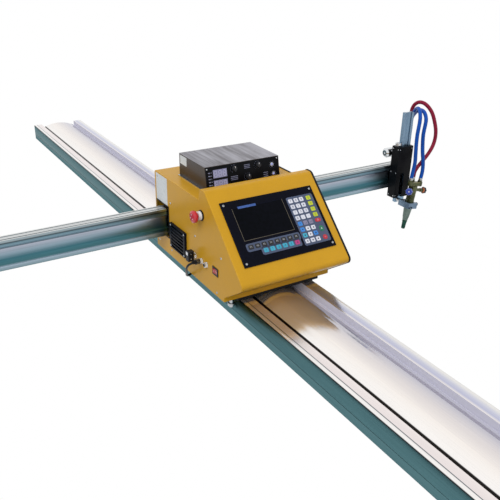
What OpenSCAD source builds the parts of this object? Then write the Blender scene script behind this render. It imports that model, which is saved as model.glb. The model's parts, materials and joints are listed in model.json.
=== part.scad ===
// Portable cutting machine: a carriage with a slanted console runs along a wide aluminium rail,
// a crossbeam slides through the carriage, and a motor lift at its end carries the torch.
// Millimetres, +Z up. The origin is the middle of the rail's underside, the rail lies along Y,
// and the console faces -Y.

/* [Rail] */
// Length of the rail
rail_l = 3400; // [2600:50:3800]
// Width of the rail over both ridges
rail_w = 257; // [245:1:262]
// Height of the rail up to the top of its ridges
rail_h = 72.5; // [68:0.5:80]
// Width of each ridge that the wheels roll on
ridge_w = 40; // [36:1:46]
// Depth of the valley between a ridge and the crowned middle
valley_d = 20; // [14:1:24]
// Width of the slot at the foot of each ridge
slot_w = 5; // [3:0.5:7]
// Wall of the hollow rail
rail_wall = 4; // [3:0.5:5]

/* [Drive] */
// Module of the racks and pinions
gear_m = 2; // [1.8:0.1:2.1]
// Teeth on each pinion
pinion_teeth = 16; // [14:1:16]
// Width of the toothed faces
gear_w = 15; // [12:1:18]
// Thickness of each rack behind its teeth
rack_back = 5.5; // [5:0.5:6]
// Height of the plain foot of each rack
rack_foot = 10; // [9:1:11]
// Height of the rail rack's foot above the rail's underside
rack_z = 8; // [6:1:10]
// Spacing of the screws that hold the rail rack
rack_screw_pitch = 200; // [150:10:250]
// Diameter of the drive shafts
drive_shaft_d = 10; // [8:1:12]
// Width of each square gear motor
motor_w = 56; // [50:1:57]
// Height of the gear motor that drives along the rail
motor_h = 96; // [80:1:110]

/* [Running gear] */
// Diameter of the wheels
wheel_d = 48; // [44:1:50]
// Width of the wheels
wheel_w = 22; // [18:1:26]
// Diameter of the axles
axle_d = 12; // [10:1:14]
// Distance of the front axle from the back of the housing
front_axle_u = 380; // [360:5:385]
// Distance of the rear axle from the back of the housing
rear_axle_u = 130; // [125:5:150]
// Diameter of the guide rollers that run on the rail's sides
guide_d = 22; // [19:1:24]
// Width of the guide rollers
guide_w = 9; // [7:1:10]
// Height of the guide rollers' underside
guide_z = 46; // [44:1:50]
// Diameter of the studs that the guide rollers turn on
stud_d = 8; // [6:1:10]
// Distance of the front guide rollers from the back of the housing
front_guide_u = 417; // [410:1:425]
// Distance of the rear guide rollers from the back of the housing
rear_guide_u = 70; // [60:1:80]

/* [Housing] */
// Distance from the rail's middle to the back of the housing, along the rail
back_y = -48; // [-200:1:200]
// Width of the housing
body_w = 368; // [364:1:390]
// Thickness of the sheet metal
sheet_t = 2; // [1.5:0.5:2.5]
// Thickness of the floor of the housing
floor_t = 3; // [2:0.5:4]
// Height of the floor of the housing above the rail's ridges
floor_gap = 12; // [11:0.5:14]
// Height of the flat top
top_z = 344; // [338:1:350]
// Height of the console's crest
crest_z = 379.5; // [372:0.5:390]
// Distance of the console's rear wall from the back
step_u = 303; // [300:1:306]
// Distance of the crest's front corner from the back
crest_u = 336; // [332:1:340]
// Distance of the nose from the back
nose_u = 555; // [545:1:565]
// Height of the nose
nose_z = 170; // [165:1:175]
// Distance of the lip under the nose from the back
lip_u = 451; // [448:1:455]
// Height of the lip's lower edge
lip_z = 98; // [96:1:100]
// Outer radius of the bend at the nose
nose_r = 14; // [10:1:18]
// Outer radius of the bend at the crest
crest_r = 18; // [10:1:22]
// Outer radius of the bend at the back of the top
back_r = 6; // [4:1:10]
// Width of the black edge trim
trim_w = 3; // [2:0.5:4]

/* [Controller] */
// Width of the control panel
panel_w = 310; // [300:1:320]
// Height of the control panel along the slope
panel_l = 199; // [190:1:205]
// Distance of the panel's upper edge from the crest, along the slope
panel_s = 45; // [40:1:50]
// Thickness of the control panel
panel_t = 4; // [3:0.5:5]
// Depth of the controller case behind the panel
case_d = 46; // [35:1:55]
// Width of the screen
screen_w = 165; // [155:1:170]
// Height of the screen
screen_l = 97; // [92:1:100]

/* [Height controller] */
// Width of the height controller on top of the housing
thc_w = 256; // [240:1:270]
// Height of the height controller
thc_h = 70; // [60:1:80]
// Depth of its flat top
thc_top_l = 165; // [150:1:175]
// How far its front face leans out at the foot
thc_lean = 15; // [10:1:20]
// Distance of its back from the back of the housing
thc_u = 80; // [70:1:95]
// Sheet thickness of its case
thc_t = 1.5; // [1:0.5:2]
// Diameter of its knobs
thc_knob_d = 16; // [12:1:18]

/* [Side fittings] */
// Diameter of the stop button's mushroom cap
estop_d = 36; // [34:1:42]
// Travel of the stop button
estop_travel = 5; // [4:0.5:6]
// Distance of the stop button from the back
estop_u = 320; // [316:1:326]
// Height of the stop button
estop_z = 303; // [296:1:310]
// Diameter of the fan rotor
fan_d = 72; // [60:1:74]
// Distance of the fan from the back
fan_u = 169; // [166:1:175]
// Height of the middle of the fan
fan_z = 167; // [164:1:170]
// Width of the rocker switch
rocker_w = 26; // [22:1:28]
// Height of the rocker switch
rocker_h = 19; // [16:1:21]
// Distance of the rocker switch from the back
rocker_u = 402; // [398:1:406]
// Height of the row of sockets and of the rocker switch
socket_z = 161; // [158:1:164]
// Diameter of the cable sockets
socket_d = 18; // [16:1:20]
// Diameter of the signal cable
cable_d = 7; // [6:0.5:8]

/* [Crossbeam] */
// Length of the crossbeam
beam_l = 2000; // [1800:10:2200]
// Height of the crossbeam
beam_h = 91; // [88:1:94]
// Depth of the crossbeam
beam_d = 36; // [34:1:38]
// Height of the crossbeam's underside
beam_z = 152; // [150:1:154]
// Place of the crossbeam's front face along the rail
beam_y = -139; // [-141:1:-137]
// Place of the crossbeam's torch end across the rail
beam_end_x = 812; // [780:1:860]
// Wall of the crossbeam
beam_wall = 3; // [2.5:0.5:4]
// Diameter of the rollers that carry the crossbeam
beam_roller_d = 28; // [26:1:29]
// Distance between the two rollers that carry the crossbeam
beam_roller_pitch = 240; // [230:2:250]

/* [Torch lift] */
// Width of the lift housing
lift_w = 70; // [69:0.5:74]
// Depth of the lift housing
lift_d = 38; // [36:1:42]
// Height of the lift housing
lift_h = 200; // [190:1:210]
// Height of the lift housing's underside
lift_z = 119; // [117:1:121]
// Width of the lift bar
bar_w = 44; // [40:1:46]
// Thickness of the lift bar
bar_t = 14; // [12:1:16]
// Height of the lift bar's upper end
bar_top_z = 445; // [440:1:450]
// Travel of the lift
lift_travel = 100; // [80:1:100]
// Diameter of the lift's lead screw
lift_screw_d = 8; // [6:0.5:8]
// Diameter of the hand wheel on the lead screw
lift_knob_d = 22; // [18:1:23]

/* [Torch] */
// Diameter of the arm rod that the torch turns on
rod_d = 15; // [13:1:16]
// Height of the arm rod
rod_z = 107; // [106:0.5:108]
// Place of the torch along the rail
torch_y = -230; // [-236:1:-226]
// Lean of the torch away from upright, in degrees
torch_tilt = 9; // [0:1:12]
// Diameter of the torch where the clamp holds it
torch_d = 33; // [30:1:35]
// Length of the torch above the clamp's middle
torch_up = 92; // [88:1:94]
// Length of the torch below the clamp's middle, without the nozzle
torch_down = 62; // [58:1:66]
// Length of the nozzle
nozzle_l = 35; // [30:1:38]
// Diameter of the gas hoses
hose_d = 14; // [12:0.5:14.5]
// Diameter of the gas inlet nipples
nipple_d = 8; // [7:0.5:9]

/* [Fits] */
// Gap between parts that roll or turn close to each other
run_gap = 0.3; // [0.25:0.05:0.35]
// Radial clearance of a shaft in its bore
fit = 0.05; // [0.03:0.01:0.08]
// Gap around a part that is screwed into a cutout
seat_gap = 0.2; // [0.1:0.05:0.3]

/* [Hidden] */
$fn = 48;

half_w = rail_w / 2;
ridge_in = half_w - ridge_w;
crown_half = ridge_in - slot_w;
crown_r = (crown_half * crown_half + valley_d * valley_d) / (2 * valley_d);

floor_z = rail_h + floor_gap;
floor_top = floor_z + floor_t;
side_x = body_w / 2;
panel_in_x = side_x - sheet_t;
slope_a = atan2(crest_z - nose_z, nose_u - crest_u);

gear_r = gear_m * pinion_teeth / 2;
rack_t = rack_back + 2.25 * gear_m;
pitch_off = rack_back + 1.25 * gear_m;
rail_pinion_x = half_w + pitch_off + gear_r;
rail_pinion_y = back_y - 230;
rail_motor_gap = 1.5;
rail_motor_w = 2 * (panel_in_x - rail_pinion_x - rail_motor_gap);
rack_tooth_z = rack_z + rack_foot;

beam_back_y = beam_y + beam_d;
beam_top_z = beam_z + beam_h;
beam_pinion_y = beam_back_y + pitch_off + gear_r;
beam_pinion_x = 0;
beam_rack_z = beam_z + 30;
beam_motor_h = beam_z - 7 - floor_top;
beam_roller_x = beam_roller_pitch / 2;
beam_roller_z = beam_z - run_gap - beam_roller_d / 2;
beam_roller_y = beam_y + beam_d / 2;
beam_start_x = beam_end_x - beam_l;
slot_front_y = beam_y - 6;
slot_back_y = beam_back_y + rack_t + 33;
slot_low_z = beam_z - 6.5;
slot_high_z = beam_top_z + 6;

axle_z = rail_h + run_gap + wheel_d / 2;
wheel_x = half_w - ridge_w / 2;
guide_x = half_w + run_gap + guide_d / 2;

thc_x = -6;
thc_top_u = thc_u + thc_top_l;
thc_slope_a = 90 - atan2(thc_lean, thc_h);

lift_x = beam_end_x + 5 - lift_w;
lift_front_y = beam_y - lift_d;
bar_x = lift_x + lift_w - 27;
bar_front_y = lift_front_y + 12;
bar_back_y = bar_front_y + bar_t;
screw_x = bar_x - bar_w / 2 - lift_knob_d / 2 - 0.5;
screw_y = bar_front_y + bar_t / 2;
rod_x = bar_x - 13;
bar_low_z = rod_z - rod_d / 2 - 4;

// Centre lines of the hoses and of the signal cable
blue_left_route = [
    [769, -234, 216], [773, -234, 240], [775, -236, 275], [771, -237, 312], [769, -236, 349],
    [769.5, -235, 385], [776.6, -231.6, 426.1], [784.7, -222.4, 445.7], [794.7, -207.7, 458.7],
    [804.8, -190.8, 463], [813.7, -173.4, 458.7], [820.4, -157.7, 445.7], [823.5, -146.8, 426.1],
    [822.5, -142.5, 404]
];
blue_right_route = [
    [818, -234, 208.2], [822, -234, 235], [820, -233, 270], [813, -231, 306], [808, -230, 342],
    [806, -229, 378], [812.7, -226.9, 421.4], [819.1, -217.3, 437.6], [825.9, -201.6, 448.4],
    [831.8, -183.2, 452], [836.2, -164.3, 448.4], [838.5, -146.9, 437.6], [838.2, -134.6, 421.4],
    [835.5, -129.5, 404]
];
red_route = [
    [848.5, -116.5, 404], [845.8, -116.2, 430.2], [845.7, -123.1, 453.5], [848.5, -136.5, 468.9],
    [853.2, -153.2, 474], [859.5, -171.5, 468.9], [866.6, -189.2, 453.5], [873.2, -202.8, 430.2],
    [884, -213, 384], [887, -214, 346], [876, -215, 313], [853, -217, 286], [830, -217, 265],
    [812, -216.5, 247], [801.1, -216, 230.5], [798, -216, 211.5]
];
cable_route = [
    for (p = [
        [32, 322, 161], [42, 319, 156], [44, 308, 143], [36, 288, 122], [24, 264, 100], [12, 240, 80],
        [-2, 218, 64], [-18, 202, 56], [-30, 195, 60], [-34, 194, 72], [-34, 194, 86]
    ])
    [-side_x - p[0], back_y - p[1], p[2]]
];

// A point of a side view: u is the distance in front of the housing's back, z the height
function at(u, z) = [-u, z];

function unit(v) = v / norm(v);
function wrap(a) = a > 180 ? a - 360 : (a < -180 ? a + 360 : a);

// Arc that rounds the corner at b between a and c
function corner(a, b, c, r, n) =
    let(u = unit(a - b), w = unit(c - b), half = acos(u * w) / 2)
    let(o = b + unit(u + w) * r / sin(half))
    let(s = b + u * r / tan(half) - o, e = b + w * r / tan(half) - o)
    let(a0 = atan2(s[1], s[0]), da = wrap(atan2(e[1], e[0]) - a0))
    [for (i = [0:n]) o + r * [cos(a0 + da * i / n), sin(a0 + da * i / n)]];

// A line with its inner corners rounded; radii holds one radius for each point
function bent(pts, radii, n = 6) = [
    for (i = [0:len(pts) - 1])
        each (radii[i] == 0 ? [pts[i]] : corner(pts[i - 1], pts[i], pts[i + 1], radii[i], n))
];

function left_of(d) = [-d[1], d[0]];

// An open line moved sideways by t, to the left for a positive t
function moved(pts, t) = [
    for (i = [0:len(pts) - 1])
        let(d1 = unit(i == 0 ? pts[1] - pts[0] : pts[i] - pts[i - 1]))
        let(d2 = unit(i == len(pts) - 1 ? pts[i] - pts[i - 1] : pts[i + 1] - pts[i]))
        let(n1 = left_of(d1), n2 = left_of(d2))
        pts[i] + (n1 + n2) * t / (1 + n1 * n2)
];

// Outline of a sheet that is bent along a line; the sheet lies to the left of the line
function sheet_outline(pts, radii, t) =
    let(line = bent(pts, radii), inner = moved(line, t))
    concat(line, [for (i = [len(inner) - 1:-1:0]) inner[i]]);

function reversed(pts) = [for (i = [len(pts) - 1:-1:0]) pts[i]];

// Smooth curve through the points of a route, for a share k between points i and i + 1
function route_at(p, i, k) =
    let(n = len(p) - 1, a = p[max(i - 1, 0)], b = p[i], c = p[min(i + 1, n)], d = p[min(i + 2, n)])
    0.5 * (2 * b + (c - a) * k + (2 * a - 5 * b + 4 * c - d) * k * k
        + (3 * b - a - 3 * c + d) * k * k * k);

module tube(route, d, ref, sides = 10) {
    n = len(route);
    rings = [
        for (i = [0:n - 1])
            let(t = unit(route[min(i + 1, n - 1)] - route[max(i - 1, 0)]))
            let(u = unit(cross(t, ref)), v = cross(t, u))
            for (j = [0:sides - 1])
                route[i] + d / 2 * (cos(360 * j / sides) * u + sin(360 * j / sides) * v)
    ];
    walls = [
        for (i = [0:n - 2])
            for (j = [0:sides - 1])
                let(a = i * sides + j, b = i * sides + (j + 1) % sides)
                each [[a, b, b + sides], [a, b + sides, a + sides]]
    ];
    lids = [
        for (j = [1:sides - 2]) each [
            [0, j + 1, j],
            [(n - 1) * sides, (n - 1) * sides + j, (n - 1) * sides + j + 1]
        ]
    ];
    polyhedron(rings, concat(walls, lids));
}

// A side-view outline made into a plate from x0 on
module side_plate(pts, x0, w) {
    translate([x0, back_y, 0])
        rotate([90, 0, 90])
            linear_extrude(w)
                polygon(pts);
}

// A box given by its two corners
module block(a, b) {
    translate(a)
        cube(b - a);
}

module rod_x_axis(x0, y, z, d, l) {
    translate([x0, y, z])
        rotate([0, 90, 0])
            cylinder(d = d, h = l);
}

module rod_y_axis(x, y0, z, d, l) {
    translate([x, y0 + l, z])
        rotate([90, 0, 0])
            cylinder(d = d, h = l);
}

module rod_z_axis(x, y, z0, d, l) {
    translate([x, y, z0])
        cylinder(d = d, h = l);
}

// Frame on the console's slope: x across, y up the slope from the crest, z outwards
module on_slope() {
    translate([0, back_y - crest_u, crest_z])
        rotate([slope_a, 0, 0])
            children();
}

// Frame on the height controller's front: x across, y up from its lower edge, z outwards
module on_thc() {
    translate([thc_x, back_y - thc_top_u - thc_lean, top_z])
        rotate([thc_slope_a, 0, 0])
            children();
}

// Frame of the torch: z along the torch, origin in the middle of the clamp
module on_torch() {
    translate([rod_x, torch_y, rod_z])
        rotate([0, torch_tilt, 0])
            children();
}

// Rail

function crown_z(x, drop) = rail_h - drop - (crown_r - sqrt(crown_r * crown_r - x * x));

function rail_half_outline() =
    let(slot_z = rail_h - valley_d - 2, groove = 1.5)
    concat([
        [half_w, 0], [half_w, 24], [half_w - groove, 24 + groove / 2], [half_w, 24 + groove],
        [half_w, rail_h - 2], [half_w - 2, rail_h], [half_w - 6, rail_h],
        [half_w - 6 - groove / 2, rail_h - groove], [half_w - 6 - groove, rail_h],
        [ridge_in, rail_h], [ridge_in, slot_z], [crown_half, slot_z]
    ], [
        for (i = [12:-1:0])
            let(x = crown_half * i / 12)
            [x, crown_z(x, 0)]
    ]);

function middle_hollow() =
    let(slot_z = rail_h - valley_d - 2 - rail_wall, top_x = crown_half - rail_wall)
    concat([[ridge_in, rail_wall], [ridge_in, slot_z], [top_x, slot_z]], [
        for (i = [10:-1:0])
            let(x = top_x * i / 10)
            [x, crown_z(x, rail_wall)]
    ]);

function mirrored(pts) = [for (i = [len(pts) - 2:-1:0]) [-pts[i][0], pts[i][1]]];

module rail_profile() {
    difference() {
        polygon(concat(rail_half_outline(), mirrored(rail_half_outline())));
        polygon(concat(middle_hollow(), mirrored(middle_hollow())));
        for (x = [ridge_in + rail_wall, -half_w + rail_wall])
            translate([x, rail_wall])
                square([ridge_w - 2 * rail_wall, rail_h - 2 * rail_wall]);
    }
}

screw_count = floor((rail_l - 100) / rack_screw_pitch) + 1;
function rack_screw_y(i) = (i - (screw_count - 1) / 2) * rack_screw_pitch;
rack_screw_d = 5;
rack_screw_z = rack_z + rack_foot / 2;

module rail_extrusion() {
    color("gainsboro")
        difference() {
            translate([0, rail_l / 2, 0])
                rotate([90, 0, 0])
                    linear_extrude(rail_l)
                        rail_profile();
            for (i = [0:screw_count - 1])
                rod_x_axis(half_w - rail_wall - 3, rack_screw_y(i), rack_screw_z, rack_screw_d, 9);
        }
}

// Teeth of a rack that starts at s0 and ends at s1, with a gap between teeth at s_gap
function rack_teeth(s0, s1, s_gap) =
    let(p = PI * gear_m, root = rack_back, tip = rack_t)
    let(first = ceil((s0 - s_gap) / p) , last = floor((s1 - s_gap) / p) - 1)
    [
        for (i = [first:last])
            let(c = s_gap + (i + 0.5) * p)
            each [[c - 0.36 * p, root], [c - 0.1 * p, tip], [c + 0.1 * p, tip], [c + 0.36 * p, root]]
    ];

module rack_bar(s0, s1, s_gap) {
    linear_extrude(gear_w)
        polygon(concat([[s0, 0], [s0, rack_back]], rack_teeth(s0, s1, s_gap),
            [[s1, rack_back], [s1, 0]]));
}

module rail_rack() {
    color("dimgray")
        difference() {
            union() {
                translate([half_w, 0, rack_tooth_z])
                    rotate([0, 0, -90])
                        mirror([1, 0, 0])
                            rack_bar(-rail_l / 2, rail_l / 2, rail_pinion_y);
                block([half_w, -rail_l / 2, rack_z],
                    [half_w + rack_back, rail_l / 2, rack_tooth_z]);
            }
            for (i = [0:screw_count - 1])
                rod_x_axis(half_w - 1, rack_screw_y(i), rack_screw_z, rack_screw_d + 2 * fit, 12);
        }
}

module rack_screws() {
    color("silver")
        for (i = [0:screw_count - 1]) {
            rod_x_axis(half_w - rail_wall, rack_screw_y(i), rack_screw_z, rack_screw_d,
                rail_wall + rack_back);
            rod_x_axis(half_w + rack_back, rack_screw_y(i), rack_screw_z, 8.5, 3);
        }
}

// Housing

housing_pts = [
    at(0, floor_z), at(0, top_z), at(step_u, top_z), at(step_u + 6, crest_z), at(crest_u, crest_z),
    at(nose_u, nose_z), at(lip_u, lip_z), at(lip_u, floor_z)
];
housing_radii = [0, back_r, 0, 8, crest_r, nose_r, 0, 0];
housing_line = bent(housing_pts, housing_radii);

module slot_cut(x0) {
    block([x0 - 5, slot_front_y, slot_low_z], [x0 + sheet_t + 5, slot_back_y, slot_high_z]);
}

wheel_us = [front_axle_u, rear_axle_u];
guide_us = [front_guide_u, rear_guide_u];
cable_end = cable_route[len(cable_route) - 1];

module base_tray() {
    pocket = 24;
    color("goldenrod")
        difference() {
            side_plate([
                at(sheet_t, floor_z), at(sheet_t, floor_top), at(lip_u - sheet_t, floor_top),
                at(lip_u - sheet_t, lip_z - seat_gap), at(lip_u, lip_z - seat_gap), at(lip_u, floor_z)
            ], -panel_in_x, 2 * panel_in_x);
            for (u = wheel_us, s = [-1, 1])
                block([s * wheel_x - wheel_w / 2 - 2, back_y - u - pocket, floor_z - 1],
                    [s * wheel_x + wheel_w / 2 + 2, back_y - u + pocket, floor_top + 1]);
            for (u = guide_us, s = [-1, 1])
                rod_z_axis(s * guide_x, back_y - u, floor_z - 1, stud_d + 2 * fit, floor_t + 2);
            rod_z_axis(rail_pinion_x, rail_pinion_y, floor_z - 1, drive_shaft_d + 8, floor_t + 2);
            rod_z_axis(cable_end[0], cable_end[1], floor_z - 1, cable_d + seat_gap, floor_t + 2);
        }
}

estop_hole_d = 22.5;
fan_guard_w = 104;
fan_guard_h = 82;
fan_frame_w = fan_d + 8;
socket_us = [281, 322, 352];

module side_panel_left() {
    color("goldenrod")
        difference() {
            side_plate(housing_line, -side_x, sheet_t);
            slot_cut(-side_x);
            rod_x_axis(-side_x - 1, back_y - estop_u, estop_z, estop_hole_d, sheet_t + 2);
            rod_x_axis(-side_x - 1, back_y - fan_u, fan_z, fan_d + 1, sheet_t + 2);
            for (u = socket_us)
                rod_x_axis(-side_x - 1, back_y - u, socket_z, socket_d - 4, sheet_t + 2);
            block([-side_x - 1, back_y - rocker_u - rocker_w / 2, socket_z - rocker_h / 2],
                [-panel_in_x + 1, back_y - rocker_u + rocker_w / 2, socket_z + rocker_h / 2]);
        }
}

module side_panel_right() {
    vent_w = 60;
    vent_pitch = 12;
    color("goldenrod")
        difference() {
            side_plate(housing_line, panel_in_x, sheet_t);
            slot_cut(panel_in_x);
            for (i = [0:5])
                block([panel_in_x - 1, back_y - fan_u - vent_w / 2, fan_z - 32 + i * vent_pitch],
                    [side_x + 1, back_y - fan_u + vent_w / 2, fan_z - 28 + i * vent_pitch]);
        }
}

module console_cover() {
    pts = [
        at(step_u, top_z - 14), at(step_u, top_z), at(step_u + 6, crest_z), at(crest_u, crest_z),
        at(nose_u, nose_z), at(lip_u, lip_z)
    ];
    radii = [0, 0, 8, crest_r, nose_r, 0];
    color("goldenrod")
        difference() {
            side_plate(sheet_outline(pts, radii, sheet_t), -panel_in_x, 2 * panel_in_x);
            on_slope()
                block([-panel_w / 2 + 14, -panel_s - panel_l + 8, -sheet_t - 1],
                    [panel_w / 2 - 14, -panel_s - 8, 1]);
        }
}

module rear_cover() {
    pts = [at(0, floor_z), at(0, top_z), at(step_u, top_z)];
    color("goldenrod")
        side_plate(sheet_outline(pts, [0, back_r, 0], sheet_t), -panel_in_x, 2 * panel_in_x);
}

module slot_trim(x0, w) {
    difference() {
        block([x0, slot_front_y - trim_w, slot_low_z - trim_w],
            [x0 + w, slot_back_y + trim_w, slot_high_z + trim_w]);
        block([x0 - 1, slot_front_y, slot_low_z], [x0 + w + 1, slot_back_y, slot_high_z]);
    }
}

module edge_trims() {
    edge = bent([
        at(0, floor_z), at(0, top_z), at(step_u, top_z), at(step_u + 6, crest_z),
        at(crest_u, crest_z), at(nose_u, nose_z), at(lip_u, lip_z)
    ], [0, back_r, 0, 8, crest_r, nose_r, 0]);
    color("black") {
        side_plate(concat(edge, reversed(moved(edge, trim_w))), side_x, 2);
        slot_trim(-side_x - 2, 2);
        slot_trim(side_x, 2);
    }
}

// Heads of the screws that hold the side panels and the control panel
module housing_screws() {
    left = [
        [step_u - 25, nose_z + 52], [lip_u - 17, nose_z + 45], [rear_axle_u - 18, lip_z + 9],
        [lip_u - 41, lip_z - 2], [rear_axle_u - 18, beam_top_z + 25], [20, lip_z + 12], [20, top_z - 14]
    ];
    head_d = 7;
    color("silver") {
        for (p = left, s = [-1, 1])
            translate([s * side_x, back_y - p[0], p[1]])
                rotate([0, s * 90, 0])
                    cylinder(d1 = head_d, d2 = head_d - 2, h = 1.8);
        on_slope()
            for (sx = [-1, 1], t = [panel_s + 10, panel_s + panel_l - 10])
                translate([sx * (panel_w / 2 - 9), -t, panel_t])
                    cylinder(d1 = 7, d2 = 5, h = 1.4);
    }
}

// Rubber wiper under the front edge, cut to the rail's crown
module rail_wiper() {
    front_u = lip_u - 31;
    crown = [
        for (i = [-12:12])
            let(x = crown_half * i / 12)
            [x, crown_z(x, -run_gap)]
    ];
    color("black")
        translate([0, back_y - front_u + 5, 0])
            rotate([90, 0, 0])
                linear_extrude(5)
                    polygon(concat([
                        [-half_w, floor_z], [-half_w, rail_h + run_gap],
                        [-ridge_in, rail_h + run_gap], [-ridge_in, rail_h - 8]
                    ], [[-crown_half, rail_h - 8]],
                        [for (p = crown) if (p[1] > rail_h - 8) p],
                        [
                            [crown_half, rail_h - 8], [ridge_in, rail_h - 8],
                            [ridge_in, rail_h + run_gap],
                            [half_w, rail_h + run_gap], [half_w, floor_z]
                        ]));
}

// Running gear

axle_block_x = 78;
axle_block_w = 14;

// Blocks that carry the axles, and the studs under the floor that the guide rollers turn on
module wheel_mounts() {
    color("silver") {
        for (u = wheel_us, s = [-1, 1])
            difference() {
                block([s * axle_block_x - axle_block_w / 2, back_y - u - 16, floor_top],
                    [s * axle_block_x + axle_block_w / 2, back_y - u + 16, axle_z + axle_d / 2 + 8]);
                rod_x_axis(s * axle_block_x - axle_block_w, back_y - u, axle_z,
                    axle_d + 2 * fit, 2 * axle_block_w);
            }
        for (u = guide_us, s = [-1, 1])
            translate([s * guide_x, back_y - u, 0]) {
                rod_z_axis(0, 0, guide_z - 2, stud_d, floor_top + 6 - guide_z + 2);
                rod_z_axis(0, 0, guide_z - 4, stud_d + 5, 4 - run_gap);
                rod_z_axis(0, 0, guide_z + guide_w + run_gap, stud_d + 5,
                    floor_z - guide_z - guide_w - run_gap);
                rod_z_axis(0, 0, floor_top, stud_d + 6, 6);
            }
    }
}

module wheelset(u) {
    axle_half = wheel_x + wheel_w / 2 + 1;
    color("silver")
        rod_x_axis(-axle_half, back_y - u, axle_z, axle_d, 2 * axle_half);
    color("dimgray")
        for (s = [-1, 1])
            translate([s * wheel_x, back_y - u, axle_z])
                rotate([0, 90, 0])
                    rotate_extrude($fn = 64)
                        polygon([
                            [axle_d / 2, -wheel_w / 2], [wheel_d / 2 - 8, -wheel_w / 2],
                            [wheel_d / 2 - 7, -wheel_w / 2 + 2], [wheel_d / 2 - 1, -wheel_w / 2 + 2],
                            [wheel_d / 2, -wheel_w / 2 + 3], [wheel_d / 2, wheel_w / 2 - 3],
                            [wheel_d / 2 - 1, wheel_w / 2 - 2], [wheel_d / 2 - 7, wheel_w / 2 - 2],
                            [wheel_d / 2 - 8, wheel_w / 2], [axle_d / 2, wheel_w / 2]
                        ]);
}

module front_wheelset() {
    wheelset(front_axle_u);
}

module rear_wheelset() {
    wheelset(rear_axle_u);
}

module guide_roller(u, s) {
    color("silver")
        translate([s * guide_x, back_y - u, guide_z])
            rotate_extrude($fn = 64)
                polygon([
                    [stud_d / 2 + fit, 0], [guide_d / 2 - 1, 0], [guide_d / 2, 1],
                    [guide_d / 2, guide_w - 1], [guide_d / 2 - 1, guide_w],
                    [stud_d / 2 + fit, guide_w]
                ]);
}

module guide_roller_front_left() {
    guide_roller(front_guide_u, -1);
}

module guide_roller_front_right() {
    guide_roller(front_guide_u, 1);
}

module guide_roller_rear_left() {
    guide_roller(rear_guide_u, -1);
}

module guide_roller_rear_right() {
    guide_roller(rear_guide_u, 1);
}

// Pinion with a tooth that points along +X, thin enough to leave backlash
module pinion_teeth_profile() {
    step = 360 / pinion_teeth;
    tip = gear_r + 0.85 * gear_m;
    root = gear_r - 1.25 * gear_m;
    polygon([
        for (i = [0:pinion_teeth - 1])
            let(a = i * step)
            each [
                root * [cos(a - 0.3 * step), sin(a - 0.3 * step)],
                gear_r * [cos(a - 0.14 * step), sin(a - 0.14 * step)],
                tip * [cos(a - 0.06 * step), sin(a - 0.06 * step)],
                tip * [cos(a + 0.06 * step), sin(a + 0.06 * step)],
                gear_r * [cos(a + 0.14 * step), sin(a + 0.14 * step)],
                root * [cos(a + 0.3 * step), sin(a + 0.3 * step)]
            ]
    ]);
}

// Pinion on its shaft, with one tooth pointing in the direction a
module pinion(x, y, z, shaft_z0, shaft_z1, a) {
    translate([x, y, z])
        rotate([0, 0, a])
            linear_extrude(gear_w)
                pinion_teeth_profile();
    rod_z_axis(x, y, shaft_z0, drive_shaft_d, shaft_z1 - shaft_z0);
}

module rail_pinion() {
    color("silver")
        pinion(rail_pinion_x, rail_pinion_y, rack_tooth_z, rack_tooth_z - 3, floor_top + 30, 180);
}

module beam_pinion() {
    color("silver")
        pinion(beam_pinion_x, beam_pinion_y, beam_rack_z, floor_top + beam_motor_h - 30,
            beam_rack_z + gear_w + 3, -90);
}

module gear_motor(x, y, w, h, shaft_from_top) {
    flange_t = 6;
    bore_z = shaft_from_top ? floor_top + h - 31 : floor_top - 1;
    flange_z = shaft_from_top ? floor_top + h - flange_t : floor_top;
    difference() {
        union() {
            block([x - w / 2, y - motor_w / 2, flange_z],
                [x + w / 2, y + motor_w / 2, flange_z + flange_t]);
            block([x - w / 2 + 2, y - motor_w / 2 + 2, floor_top],
                [x + w / 2 - 2, y + motor_w / 2 - 2, floor_top + h]);
        }
        rod_z_axis(x, y, bore_z, drive_shaft_d + 2 * fit, 32);
    }
}

module drive_motors() {
    color("dimgray") {
        gear_motor(rail_pinion_x, rail_pinion_y, rail_motor_w, motor_h, false);
        gear_motor(beam_pinion_x, beam_pinion_y, motor_w, beam_motor_h, true);
    }
}

cheek_gap = 3;
cheek_t = 6;
bracket_w = 30;
bracket_pin_d = 8;

// Frames on the floor that the crossbeam runs through, each with the pin of its roller
module beam_brackets() {
    front_in = beam_y - cheek_gap;
    back_in = beam_back_y + cheek_gap;
    arch_z = beam_top_z + 9;
    color("gray")
        for (s = [-1, 1]) {
            x0 = s * beam_roller_x - bracket_w / 2;
            x1 = s * beam_roller_x + bracket_w / 2;
            difference() {
                union() {
                    block([x0, front_in - cheek_t, floor_top], [x1, front_in, arch_z + cheek_t]);
                    block([x0, back_in, floor_top], [x1, back_in + cheek_t, beam_z + 12]);
                    block([x0, front_in - 1, arch_z], [x1, beam_back_y, arch_z + cheek_t]);
                }
                rod_y_axis(s * beam_roller_x, front_in - 20, beam_roller_z, bracket_pin_d,
                    beam_d + 50);
            }
            rod_y_axis(s * beam_roller_x, front_in - cheek_t - 2, beam_roller_z,
                bracket_pin_d, beam_d + 2 * cheek_gap + 2 * cheek_t + 4);
        }
}

// Nylon pads that steady the crossbeam above and in front
module beam_slide_pads() {
    color("ivory")
        for (s = [-1, 1]) {
            x0 = s * beam_roller_x - bracket_w / 2 + 2;
            x1 = s * beam_roller_x + bracket_w / 2 - 2;
            block([x0, beam_y + 6, beam_top_z + run_gap], [x1, beam_back_y - 6, beam_top_z + 9]);
            block([x0, beam_y - cheek_gap, beam_top_z - 16], [x1, beam_y - run_gap, beam_top_z - 6]);
        }
}

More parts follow.
